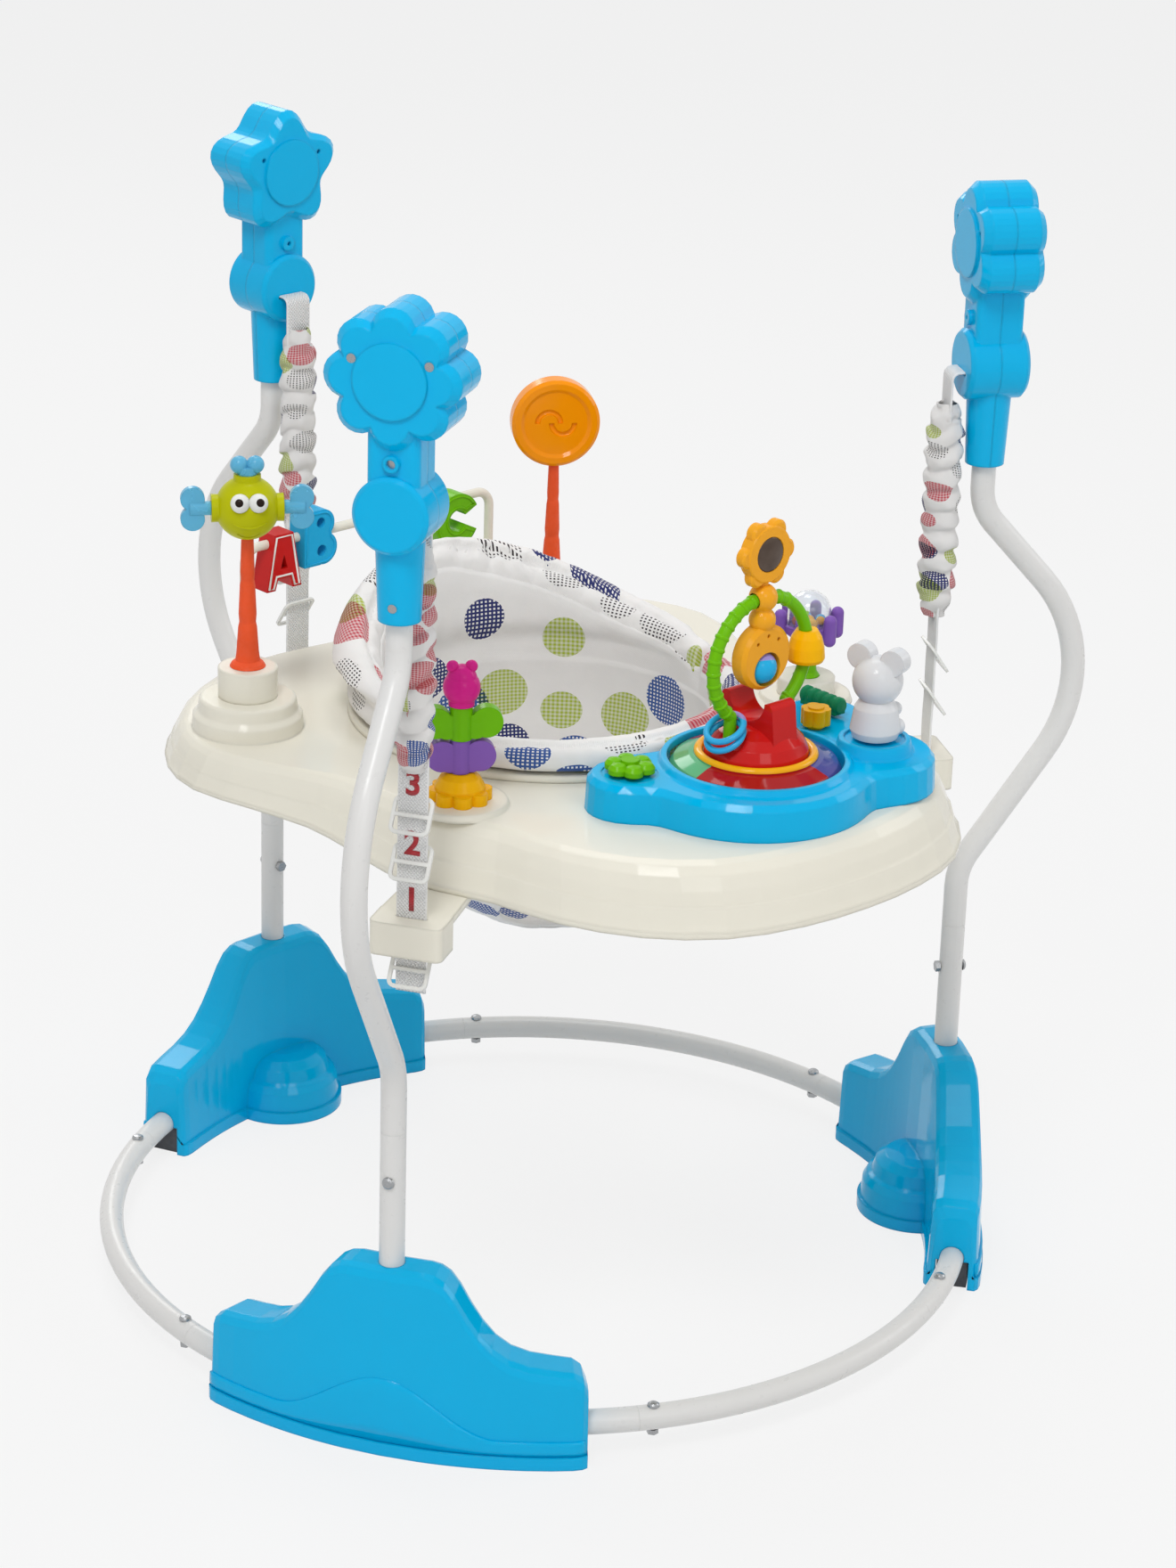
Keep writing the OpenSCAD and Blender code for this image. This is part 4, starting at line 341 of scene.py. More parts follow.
def stitched(name, colour):
    """Close rows of thread."""
    sh = Shader(name, colour, 0.6, Sheen_Weight=0.2)
    lines = sh.math("SINE", sh.math("MULTIPLY", sh.parts(sh.place())[2], math.tau / 0.0011))
    sh.put("Base Color", sh.mix(sh.span(lines, 0.0, 0.4, -1, 1), colour, darker(colour, 0.6)))
    sh.bump(lines, 0.0002)
    return sh.mat


def wheel_colours(sh, place):
    """Turntable: red, blue, red and green parts round its axis, under a yellow ring."""
    x, y, z = sh.parts(sh.shift(place, (-TABLE.x, -TABLE.y, -TABLE.z)))
    turn = sh.span(sh.math("ARCTAN2", y, x), 0.0, 1.0, -math.pi, math.pi)
    parts = sh.steps(turn, [linear(168, 22, 24), linear(52, 82, 156), linear(176, 24, 26), linear(84, 178, 124)],
                     [0.29, 0.50, 0.78])
    return sh.mix(sh.math("GREATER_THAN", z, 0.0002), parts, YELLOW)


def split_at(colours, direction, point):
    """Two colours, parted by a plane through a point."""
    axis = Vector(direction).normalized()

    def tint(sh, place):
        along = sh.node("VectorMath", {0: place, 1: axis}, operation="DOT_PRODUCT").outputs["Value"]
        return sh.mix(sh.math("GREATER_THAN", along, axis.dot(Vector(point))), *colours)
    return tint


def balls_tint(sh, place):
    """The loose balls: one colour to each side of the spinner's axis."""
    x, y, _ = sh.parts(sh.shift(place, (-SPIN.x, -SPIN.y, 0)))
    turn = sh.span(sh.math("ARCTAN2", y, x), 0.0, 1.0, -math.pi, math.pi)
    return sh.steps(turn, [RED, YELLOW, SKY, GREEN, RED], [0.125, 0.375, 0.625, 0.875])


MATS = {
    "tube": painted_tube(),
    "zinc": zinc(),
    "pad": rubber("non_slip_pad", GREY),
    "stalk": rubber("red_orange_stalk", RED_ORANGE),
    "clear": clear("clear_dome", (0.95, 0.97, 1.0)),
    "mirror": mirror(),
    "cloth": dotted_cloth("dotted_cotton", (0.84, 0.42)),
    "sleeve": dotted_cloth("sleeve_cotton", (1.0, 0.9)),
    "webbing": webbing(),
    "marks": stitched("red_thread", MARK_RED),
    "blue": plastic("blue_gloss", BLUE, 0.14, 0.25, edge=0.003),
    "cream": plastic("cream_gloss", CREAM, 0.2, 0.2, edge=0.004),
    "white": plastic("white_gloss", linear(236, 236, 232), 0.22),
    "lime": plastic("lime_plastic", LIME, 0.34),
    "fin": plastic("pale_blue_fins", FIN, 0.25, 0.2, Transmission_Weight=0.25),
    "red": plastic("red_gloss", RED, 0.15, 0.25),
    "sky": plastic("sky_plastic", SKY, 0.28),
    "green": plastic("green_plastic", GREEN, 0.3),
    "leaf": plastic("leaf_green", LEAF, 0.25),
    "orange": plastic("orange_gloss", ORANGE, 0.14, 0.25),
    "amber": plastic("amber_gloss", AMBER, 0.18, 0.2),
    "yellow": plastic("yellow_plastic", YELLOW, 0.25),
    "purple": plastic("purple_plastic", PURPLE, 0.3),
    "pink": plastic("pink_plastic", PINK, 0.3),
    "bear": plastic("bear_white", BEAR, 0.2, 0.2),
    # Dark parts; on the petal holes and the bear's eyes this dark is painted shade in holes.
    "dark": plastic("dark_inset_and_hole_shade", DARK, 0.3),
    "wheel": plastic("segmented_turntable", RED, 0.1, 0.3, wheel_colours),
    "ball": plastic("two_tone_ball", SKY, 0.15, 0.2, split_at((SKY, LILAC), (0.2, 0.5, 1), (0, -0.285, 0.594))),
    "links": plastic("two_tone_links", LILAC, 0.25, 0.2,
                     split_at((SKY, LILAC), (0.53, 0, 0.85), (-0.0234, -0.285, 0.5552))),
    "balls": plastic("small_balls", YELLOW, 0.2, 0.3, balls_tint),
}
PAINT = {
    "tube": ("base_tubes", "foot_tubes", "lower_posts", "upper_posts"),
    "zinc": ("frame_bolts", "head_screws", "suspension_springs"),
    "pad": ("foot_pads",),
    "blue": ("foot_cover_rear", "foot_cover_left", "foot_cover_right", "star_head_outer", "star_head_inner",
             "flower_head_outer", "flower_head_inner", "cloud_head_outer", "cloud_head_inner", "panel_body"),
    "cream": ("tray_shell", "tray_frame", "seat_ring", "toy_cups", "wire_arch"),
    "white": ("strap_rings", "fish_eyes"),
    "webbing": ("top_webbing", "lower_straps"),
    "cloth": ("rim_pad", "seat_back", "seat_sling"), "sleeve": ("spring_sleeves",),
    "stalk": ("fish_stalk", "lollipop_stalk"), "lime": ("fish_body",), "fin": ("fish_fins",),
    "red": ("letter_a", "cradle"), "sky": ("letter_b",),
    "green": ("letter_c", "stack_middle", "rattle_loop", "flower_button", "spinner_post"),
    "orange": ("lollipop_disc",), "yellow": ("stack_base", "yellow_button", "loop_bead"),
    "purple": ("stack_lower", "spinner_bowl"), "pink": ("stack_top",), "leaf": ("worm_button",), "bear": ("bear",),
    "wheel": ("turntable",), "amber": ("rattle_body", "sun_mirror"), "ball": ("rattle_ball",),
    "links": ("link_rings",), "clear": ("spinner_dome",), "balls": ("spinner_balls",),
}
for key, nodes in PAINT.items():
    for node in nodes:
        NODES[node].data.materials.clear()
        NODES[node].data.materials.append(MATS[key])


# Mesh helpers
def polar(r, a, z):
    """A point by its distance from the seat's axis, its heading in degrees and its height."""
    return RING + Vector((r * math.cos(math.radians(a)), r * math.sin(math.radians(a)), z))


def out_from(co):
    """A point's distance from the seat's axis."""
    return (co - RING).to_2d().length


def aimed(a, lift=0.0):
    """A unit direction by its heading and its lift, in degrees."""
    flat = math.cos(math.radians(lift))
    return Vector((math.cos(math.radians(a)) * flat, math.sin(math.radians(a)) * flat, math.sin(math.radians(lift))))


def piece(name, mesh, material, body=None, replaced=()):
    """A new object of the part, shaded smooth; without a body it is not attached to one."""
    obj = bpy.data.objects.new(name, mesh)
    SCENE.collection.objects.link(obj)
    mesh.materials.clear()
    mesh.materials.append(MATS[material])
    mesh.polygons.foreach_set("use_smooth", [True] * len(mesh.polygons))
    if body:
        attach(obj, body)
    if replaced:
        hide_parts(*replaced)
    return obj


def woven_grid(name, rows, around=False, along=False, caps=False):
    """A mesh from rows of points: around closes each row, along joins the last row to the first, caps fill the ends."""
    n, m = len(rows), len(rows[0])
    faces = []
    for i in range(n if along else n - 1):
        for j in range(m if around else m - 1):
            a, b = i * m + j, i * m + (j + 1) % m
            c, d = (i + 1) % n * m + (j + 1) % m, (i + 1) % n * m + j
            faces.append((a, b, c, d))
    if caps:
        faces += [tuple(range(m - 1, -1, -1)), tuple(range((n - 1) * m, n * m))]
    mesh = bpy.data.meshes.new(name)
    mesh.from_pydata([tuple(p) for row in rows for p in row], [], faces)
    mesh.update()
    return mesh


def merged(name, meshes):
    """Several meshes as one."""
    bm = bmesh.new()
    for mesh in meshes:
        bm.from_mesh(mesh)
    whole = bpy.data.meshes.new(name)
    bm.to_mesh(whole)
    bm.free()
    return whole


def tube(name, path, radius, sides=10, closed=False):
    """A round rod along a path; radius is a number or one for each point."""
    n = len(path)
    radii = radius if isinstance(radius, (list, tuple)) else [radius] * n
    rows, across = [], None
    for i, p in enumerate(path):
        ahead = path[(i + 1) % n] if closed or i < n - 1 else p
        behind = path[i - 1] if closed or i else p
        way = (ahead - behind).normalized()
        if across is None:
            across = way.orthogonal().normalized()
        across = (across - way * across.dot(way)).normalized()
        side = way.cross(across)
        rows.append([p + radii[i] * (across * math.cos(t) + side * math.sin(t))
                     for t in (k * math.tau / sides for k in range(sides))])
    return woven_grid(name, rows, around=True, along=closed, caps=not closed)


def lathe(name, profile, origin, axis=(0, 0, 1), sides=40):
    """A turned solid: profile of (radius, height) pairs about an axis through origin."""
    turn = Vector((0, 0, 1)).rotation_difference(Vector(axis)).to_matrix()
    rows = [[Vector(origin) + turn @ Vector((r * math.cos(t), r * math.sin(t), h))
             for t in (k * math.tau / sides for k in range(sides))] for r, h in profile]
    return woven_grid(name, rows, around=True, caps=True)


def tree_of(*objects):
    """A search tree of some objects' faces, for setting a detail on their skin."""
    points, faces = [], []
    for obj in objects:
        base = len(points)
        points += [v.co.copy() for v in obj.data.vertices]
        faces += [[base + k for k in f.vertices] for f in obj.data.polygons]
    return BVHTree.FromPolygons(points, faces)


def finished(obj, *modifiers):
    """obj's mesh with modifiers applied; each is (kind, settings)."""
    for kind, settings in modifiers:
        made = obj.modifiers.new(kind, kind)
        for key, value in settings.items():
            setattr(made, key, value)
    mesh = bpy.data.meshes.new_from_object(obj.evaluated_get(bpy.context.evaluated_depsgraph_get()))
    obj.modifiers.clear()
    obj.data = mesh
    return mesh


def lay_cloth(mesh, panel):
    """Writes where each face corner lies on the flat cloth; panel picks a map by the face's middle."""
    flat = mesh.attributes.new("cloth", "FLOAT_VECTOR", "CORNER")
    for face in mesh.polygons:
        place = panel(face.center)
        for k in face.loop_indices:
            flat.data[k].vector = place(mesh.vertices[mesh.loops[k].vertex_index].co)


def around(co, zero, near=0.0):
    """Angle round the seat's axis from a heading, kept close to another angle."""
    a = math.atan2(co.y - RING.y, co.x) - math.radians(zero)
    a = (a + math.pi) % math.tau - math.pi
    if abs(a - near) > math.pi:
        a += math.tau if near > a else -math.tau
    return a


def rough(co, size, seed=0.0):
    """Smooth noise of a size, from about -1 to 1."""
    return noise.noise(Vector(co) / size + Vector((seed, seed * 0.7, seed * 1.3)))


# Seat cover: the padded back and rim are blown up as cloth, then get their seams and puckers
NO_SEAM = (1.0, 0.0)


def puffed(node, name, shrink, cap):
    """A pad that starts a little inside its solid, swells under pressure and is held at its base."""
    bm = bmesh.new()
    bm.from_mesh(NODES[node].data)
    bmesh.ops.remove_doubles(bm, verts=bm.verts, dist=1e-5)
    bmesh.ops.recalc_face_normals(bm, faces=bm.faces)
    bm.normal_update()
    for v in bm.verts:
        v.co -= v.normal * shrink
    mesh = bpy.data.meshes.new(name)
    bm.to_mesh(mesh)
    bm.free()
    obj = bpy.data.objects.new(name, mesh)
    SCENE.collection.objects.link(obj)
    mesh = finished(obj, ("REMESH", {"mode": "VOXEL", "voxel_size": 0.005}),
                    ("SMOOTH", {"factor": 0.5, "iterations": 3}))
    start = [v.co.copy() for v in mesh.vertices]
    low = min(p.z for p in start)
    held = obj.vertex_groups.new(name="held")
    held.add([k for k, p in enumerate(start) if p.z < low + 0.004], 1.0, "REPLACE")
    cloth = obj.modifiers.new("Cloth", "CLOTH").settings
    cloth.quality = 6
    cloth.mass = 0.25
    cloth.tension_stiffness = cloth.compression_stiffness = 12
    cloth.shear_stiffness = 4
    cloth.bending_stiffness = 0.3
    cloth.use_pressure = True
    cloth.uniform_pressure_force = 4
    cloth.vertex_group_mass = "held"
    cloth.effector_weights.gravity = 0
    for step in range(1, 21):
        SCENE.frame_set(step)
    swollen = obj.evaluated_get(bpy.context.evaluated_depsgraph_get()).data
    for v, p, grown in zip(mesh.vertices, start, [q.co.copy() for q in swollen.vertices]):
        move = grown - p
        v.co = p + move * min(1.0, cap / max(move.length, 1e-9))
    obj.modifiers.clear()
    SCENE.frame_set(1)
    finished(obj, ("SUBSURF", {"levels": 1, "render_levels": 1}))
    return obj


def crest_seam(co, normal):
    """Seat back: distance to the seam between the lining and the outside, just inside the top edge, and its depth."""
    return (abs(out_from(co) - CREST_R), 0.0022) if normal.z > 0.25 and co.z > PAD_Z + 0.03 else NO_SEAM


def rim_seam(co, normal):
    """Seat rim: distance to the seam between the top and the side band, and its depth."""
    return (abs(out_from(co) - RIM_SEAM_R), 0.0018) if normal.z > 0 else NO_SEAM


def with_normals(mesh):
    """A mesh's points, each with its normal as it was before any of them moved."""
    mesh.update()
    return zip(mesh.vertices, [v.normal.copy() for v in mesh.vertices])


def sewn(mesh, seam, wave, size):
    """Presses a seam into a pad, puckers the cloth beside it and ripples the rest."""
    for v, normal in with_normals(mesh):
        away, depth = seam(v.co, normal)
        move = wave * rough(Vector((v.co.x, v.co.y, v.co.z * 0.55)), size, 4.0)
        move -= depth * math.exp(-(away / 0.0028) ** 2)
        move += 0.0011 * math.exp(-away / 0.012) * rough(v.co, 0.008, 9.0)
        v.co += normal * move


def drawn_to(mesh, seam, radius):
    """Draws the points beside a seam onto it along the surface, so that the print changes on a clean line."""
    for v, normal in with_normals(mesh):
        if seam(v.co, normal)[0] < 0.0013:
            out = (v.co - RING).to_2d().normalized().to_3d()
            along = out - normal * normal.dot(out)
            v.co += along * ((radius - out_from(v.co)) / max(along.dot(out), 0.3))


def crest_of(mesh, step=math.radians(3)):
    """The height of the seat back's crest at an angle, from the highest points of its mesh."""
    tops = {}
    for v in mesh.vertices:
        k = round(around(v.co, 90) / step)
        tops[k] = max(tops.get(k, v.co.z), v.co.z)

    def height(a):
        k = math.floor(a / step)
        low, left, right, high = (tops.get(k + n, PAD_Z) for n in (-1, 0, 1, 2))
        share = a / step - k
        return (left + right + low + share * (high - low)) / 3
    return height


def back_panels(mesh):
    """Seat back: the outside and the lining are two panels that run up and over the crest to its seam."""
    crest_height = crest_of(mesh)

    def panel(middle):
        a = around(middle, 90)
        if out_from(middle) < CREST_R:
            return lambda co: (around(co, 90, a) * 0.145, co.z + out_from(co) - 0.12, 0)

        def outside(co):
            angle, r = around(co, 90, a), out_from(co)
            top = crest_height(angle)
            past = min(max((r - CREST_R) / 0.007, 0.0), 1.0)
            return angle * 0.168 + 3.1, top + past * (co.z - top) - r + 1.92, 0
        return outside
    return panel


def rim_panels(_):
    """Seat rim: the side band and the top are two panels, with the seam between them on top."""
    def panel(middle):
        a = around(middle, 270)
        if out_from(middle) > RIM_SEAM_R:
            return lambda co: (around(co, 270, a) * 0.166 + 0.6, co.z * 1.2 - out_from(co) + 0.22, 0)
        return lambda co: (around(co, 270, a) * 0.15 + 5.2, co.z + out_from(co), 0)
    return panel


def seat_pad(name, node, swell, seam, seam_r, ripple, panels):
    """A finished pad: swell is how far it starts inside its solid and may grow, ripple its waves' height and size."""
    form = puffed(node, name, *swell)
    sewn(form.data, seam, *ripple)
    drawn_to(form.data, seam, seam_r)
    lay_cloth(form.data, panels(form.data))
    mesh = form.data.copy()
    bpy.data.objects.remove(form)
    return piece(name, mesh, "cloth", "seat", [node])


back = seat_pad("seat_back_pad", "seat_back", (0.003, 0.006), crest_seam, CREST_R, (0.0022, 0.05), back_panels)
rim = seat_pad("seat_rim_pad", "rim_pad", (0.002, 0.004), rim_seam, RIM_SEAM_R, (0.0016, 0.045), rim_panels)

# Sling: a bag with leg holes that hangs in the seat ring, bound round each hole
BAG_SHARES = [(1.0, 0.0), (1.004, 0.1), (0.99, 0.25), (0.95, 0.4), (0.86, 0.6), (0.67, 0.8), (0.41, 0.935),
              (0.17, 0.985), (0.02, 1.0)]
SKIN_T = 0.0022
HEM_R = 0.0032


def bag_row(share):
    """Radius and height on the bag at a share of the way down, smooth between the listed ones."""
    last = len(BAG_SHARES) - 1
    k = min(int(share * last), last - 1)
    t = share * last - k
    p = [Vector(BAG_SHARES[max(0, min(last, k + d))]) for d in (-1, 0, 1, 2)]
    mid = 0.5 * (2 * p[1] + (p[2] - p[0]) * t + (2 * p[0] - 5 * p[1] + 4 * p[2] - p[3]) * t ** 2
                 + (3 * p[1] - p[0] - 3 * p[2] + p[3]) * t ** 3)
    return BAG_R * mid.x, BAG_TOP - BAG_H * mid.y


pads = tree_of(back, rim)
STEPS, LINING, BAG = 144, 18, 44
crest = []
for j in range(STEPS):
    hit = pads.ray_cast(polar(LINING_R, j * 360 / STEPS, 0.8), -UP)[0]
    crest.append(hit.z if hit else PAD_Z + 0.02)
lining_top = [min(crest[(j + d) % STEPS] for d in range(-1, 2)) - 0.011 for j in range(STEPS)]
lining_top = [sum(lining_top[(j + d) % STEPS] for d in range(-3, 4)) / 7 for j in range(STEPS)]


def lining_point(j, t):
    """The lining against the pads at one heading, t from its top edge down to where the bag starts."""
    a = j * 360 / STEPS
    z = lining_top[j] + (BAG_TOP - lining_top[j]) * t
    at = max(z, PAD_Z + 0.009)
    hit = pads.ray_cast(polar(0, a, at), aimed(a))[0]
    r = out_from(hit) if hit else RIM_IN
    r += 0.0012 * (1 - t * 6) if t < 1 / 6 else 0.0
    r -= 0.0014
    if z < at:
        share = (at - z) / (at - BAG_TOP)
        r += (BAG_R - r) * (3 * share ** 2 - 2 * share ** 3)
    return r, a, z


sling_rows = [[polar(*lining_point(j, i / LINING)) for j in range(STEPS)] for i in range(LINING)]
for i in range(BAG + 1):
    r, z = bag_row(i / BAG)
    slack = math.sin(math.pi * i / BAG) ** 0.7
    row = []
    for j in range(STEPS):
        a = j * 360 / STEPS
        fold = 0.0016 * slack * math.sin(math.radians(a) * 17 + 2 * rough(polar(r, a, z), 0.06))
        fold += 0.0024 * slack * rough(polar(r, a, z), 0.05, 2.0)
        row.append(polar(r - 0.0012 + min(fold, 0.0012), a, z))
    sling_rows.append(row)
sling = bpy.data.objects.new("sling_form", woven_grid("sling_form", sling_rows, around=True))
SCENE.collection.objects.link(sling)
finished(sling, ("SOLIDIFY", {"thickness": SKIN_T, "offset": -1.0}))
hems = []
for side in (-1, 1):
    heading = 270 + side * LEG_TURN
    way = aimed(heading, -LEG_TILT)
    start = polar(LEG_OUT, heading, LEG_Z)
    across = way.cross(UP).normalized()
    up = across.cross(way)
    skin = tree_of(sling)
    path = []
    for k in range(72):
        t = k * math.tau / 72
        at = start + LEG_R * (across * math.cos(t) + up * math.sin(t))
        hit = skin.ray_cast(at - way * 0.02, way)[0]
        if hit:
            path.append(hit)
    hems.append(tube("leg_hem", path, HEM_R, closed=True))
    cutter = bpy.data.objects.new("leg_cut", tube("leg_cut", [start - way * 0.01, start + way * 0.2], LEG_R, 64))
    SCENE.collection.objects.link(cutter)
    finished(sling, ("BOOLEAN", {"operation": "DIFFERENCE", "object": cutter, "solver": "EXACT"}))
    bpy.data.objects.remove(cutter)


def sling_panel(middle):
    """The bag's bottom is a round panel of its own, and its side is one wrapped panel."""
    if out_from(middle) < 0.088 and middle.z < BAG_TOP - 0.6 * BAG_H:
        return lambda co: (co.x + 7.33, co.y + 2.08, 0)
    a = around(middle, 90)
    return lambda co: (around(co, 90, a) * 0.135 + 0.02, co.z * 1.05 + out_from(co) * 0.6 - 0.083, 0)


sling_mesh = sling.data.copy()
bpy.data.objects.remove(sling)
lay_cloth(sling_mesh, sling_panel)
sling = piece("seat_sling_bag", sling_mesh, "cloth", "seat", ["seat_sling"])
hem_mesh = merged("leg_hems", hems)
lay_cloth(hem_mesh, sling_panel)
hem = piece("leg_hole_binding", hem_mesh, "cloth", "seat")


# Straps, sleeves and springs
STRAP_ROWS = 60
FIGURES = (("3", 0.5395), ("2", 0.4915), ("1", 0.4460))
FIGURE_H = 0.026
COIL_TURNS, COIL_POINTS, COIL_WIRE = 10, 240, 0.0012
SLEEVE_ROWS, SLEEVE_SIDES = 190, 44
SLEEVE_MID, SLEEVE_PUFF, SLEEVE_CREASE = 0.0140, 0.0026, 0.0011
SOCKET_FACE = 0.0161
BEND_R = 0.006


def ribbon(name, path, out):
    """Flat webbing along a path: out is its face's normal at each point."""
    w, t, edge = WEB_W / 2, WEB_T / 2, 0.0008
    bevel = t - edge * 0.4
    section = [(-w, -bevel), (-w + edge, -t), (0, -t), (w - edge, -t), (w, -bevel),
               (w, bevel), (w - edge, t), (0, t), (-w + edge, t), (-w, bevel)]
    rows, lengths = [], [0.0]
    for i, p in enumerate(path):
        way = (path[min(i + 1, len(path) - 1)] - path[max(i - 1, 0)]).normalized()
        face = (out[i] - way * out[i].dot(way)).normalized()
        side = way.cross(face)
        rows.append([p + side * x + face * y for x, y in section])
        if i:
            lengths.append(lengths[-1] + (p - path[i - 1]).length)
    mesh = woven_grid(name, rows, around=True, caps=True)
    flat = mesh.attributes.new("cloth", "FLOAT_VECTOR", "CORNER")
    across = (-w, -w, 0, w, w, w, w, 0, -w, -w)
    for face in mesh.polygons:
        for k in face.loop_indices:
            i, j = divmod(mesh.loops[k].vertex_index, len(section))
            flat.data[k].vector = (across[j], lengths[i], 0)
    return mesh


def gathered(name, a, low, high, seed):
    """A cloth sleeve pushed up on its spring: uneven puffs with sharp folds between, pinched at both ends."""
    outer, inner, n, m = [], [], SLEEVE_ROWS, SLEEVE_SIDES
    out = aimed(a)
    side = UP.cross(out)
    for i in range(n + 1):
        t = i / n
        z = low + (high - low) * t
        ends = min(1.0, 8 * min(t, 1 - t))
        size = 0.75 + 0.55 * rough((t * 7, seed, 0), 1.0, seed)
        least = SPRING_R + 0.0022 if SPRING_LOW - 0.004 < z < SPRING_HIGH + 0.004 else 0.0
        rows = ([], [])
        for j in range(m):
            u = j * math.tau / m
            drift = 1.2 * math.sin(u + seed) + 0.9 * math.sin(2 * u - 2 * seed + 5 * t)
            drift += 1.6 * rough((math.cos(u), math.sin(u), t * 4), 1.0, seed)
            puff = 2 * abs(math.sin(0.5 * (t * 10 * math.tau + drift))) - 1
            crease = rough((math.cos(u) * 2.4, math.sin(u) * 2.4, t * 30), 1.0, seed + 5)
            r = (SLEEVE_MID + SLEEVE_PUFF * puff * size + SLEEVE_CREASE * crease) * (0.6 + 0.4 * ends)
            r = max(least, r)
            for row, thin in zip(rows, (0.0, SLEEVE_T)):
                x, y = (r - thin) * math.cos(u), (r - thin) * math.sin(u)
                x = min(x, SOCKET_FACE - thin) if z > SOCKET_LOW - 0.004 else x
                row.append(polar(STRAP_R, a, z - 0.0018 * puff * ends * math.cos(u - seed)) + out * x + side * y)
        outer.append(rows[0])
        inner.append(rows[1])
    mesh = woven_grid(name, outer + inner[::-1], around=True, along=True)
    flat = mesh.attributes.new("cloth", "FLOAT_VECTOR", "CORNER")
    for face in mesh.polygons:
        seam = {k % m for k in face.vertices} == {0, m - 1}
        for k in face.loop_indices:
            i, j = divmod(mesh.loops[k].vertex_index, m)
            turn = j + (m if seam and j == 0 else 0)
            flat.data[k].vector = (turn / m * 0.13 + seed * 0.37, min(i, 2 * n + 1 - i) / n * 0.46 + seed, 0)
    return mesh


def digit(text, a, z):
    """One stitched figure on the outer face of a strap."""
    curve = bpy.data.curves.new("figure_" + text, "FONT")
    curve.body = text
    curve.size = FIGURE_H
    curve.align_x = "CENTER"
    curve.align_y = "CENTER"
    curve.extrude = 0.0003
    curve.offset = 0.0007
    made = bpy.data.objects.new("figure", curve)
    SCENE.collection.objects.link(made)
    mesh = bpy.data.meshes.new_from_object(made.evaluated_get(bpy.context.evaluated_depsgraph_get()))
    bpy.data.objects.remove(made)
    bm = bmesh.new()
    bm.from_mesh(mesh)
    bmesh.ops.remove_doubles(bm, verts=bm.verts, dist=1e-6)
    bm.to_mesh(mesh)
    bm.free()
    out = aimed(a)
    at = polar(STRAP_R + WEB_T / 2 + 0.0002, a, z)
    mesh.transform(Matrix.Translation(at) @ Matrix((UP.cross(out), UP, out)).transposed().to_4x4())
    return mesh


SLEEVE_LOW, SLEEVE_HIGH = (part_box("spring_sleeves")[k].z for k in (0, 1))
SPRING_LOW, SPRING_HIGH = (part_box("suspension_springs")[k].z for k in (0, 1))
STRAP_LOW, STRAP_HIGH = (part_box("lower_straps")[k].z for k in (0, 1))
WEB_LOW, WEB_HIGH = (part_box("top_webbing")[k].z for k in (0, 1))
straps, loops, figures, sleeves, springs = [], [], [], [], []
for k, a in enumerate(POST_ANGLES):
    out = aimed(a)
    heights = [STRAP_LOW + (STRAP_HIGH - STRAP_LOW) * i / STRAP_ROWS for i in range(STRAP_ROWS + 1)]
    path = [polar(STRAP_R + 0.0002 * math.sin(z * 130 + k), a, z) for z in heights]
    straps.append(ribbon("strap", path, [out] * len(path)))
    # The loop goes straight up, bends outward and ends inside the head
    turns = [i * math.pi / 12 for i in range(1, 7)]
    bend = [(STRAP_R, WEB_LOW + (WEB_HIGH - 0.010 - WEB_LOW) * i / 12) for i in range(13)]
    bend += [(STRAP_R + BEND_R - BEND_R * math.cos(t), WEB_HIGH - 0.008 + BEND_R * math.sin(t)) for t in turns]
    bend += [(STRAP_R + 0.008 + 0.008 * i / 4, WEB_HIGH - 0.002) for i in range(1, 5)]
    faces = [out * math.cos(t) - UP * math.sin(t) for t in [0.0] * 13 + turns + [math.pi / 2] * 4]
    loops.append(ribbon("loop", [polar(r, a, z) for r, z in bend], faces))
    figures += [digit(text, a, z) for text, z in FIGURES]
    sleeves.append(gathered("sleeve", a, SLEEVE_LOW, SLEEVE_HIGH, 1.3 + 2.1 * k))
    coil = [polar(STRAP_R, a, SPRING_LOW + (SPRING_HIGH - SPRING_LOW) * i / COIL_POINTS)
            + SPRING_R * aimed(360 * i * COIL_TURNS / COIL_POINTS) for i in range(COIL_POINTS + 1)]
    springs.append(tube("spring", coil, COIL_WIRE, 6))
strap = piece("height_straps", merged("straps", straps), "webbing", "tray", ["lower_straps"])
loop = piece("hanging_loops", merged("loops", loops), "webbing", "frame", ["top_webbing"])
figure = piece("height_figures", merged("figures", figures), "marks", "tray")
sleeve = piece("gathered_sleeves", merged("sleeves", sleeves), "sleeve", replaced=["spring_sleeves"])
spring = piece("hanging_springs", merged("springs", springs), "zinc", replaced=["suspension_springs"])
for obj, low, high in ((sleeve, SLEEVE_LOW, SLEEVE_HIGH), (spring, SPRING_LOW, SPRING_HIGH)):
    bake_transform(obj)


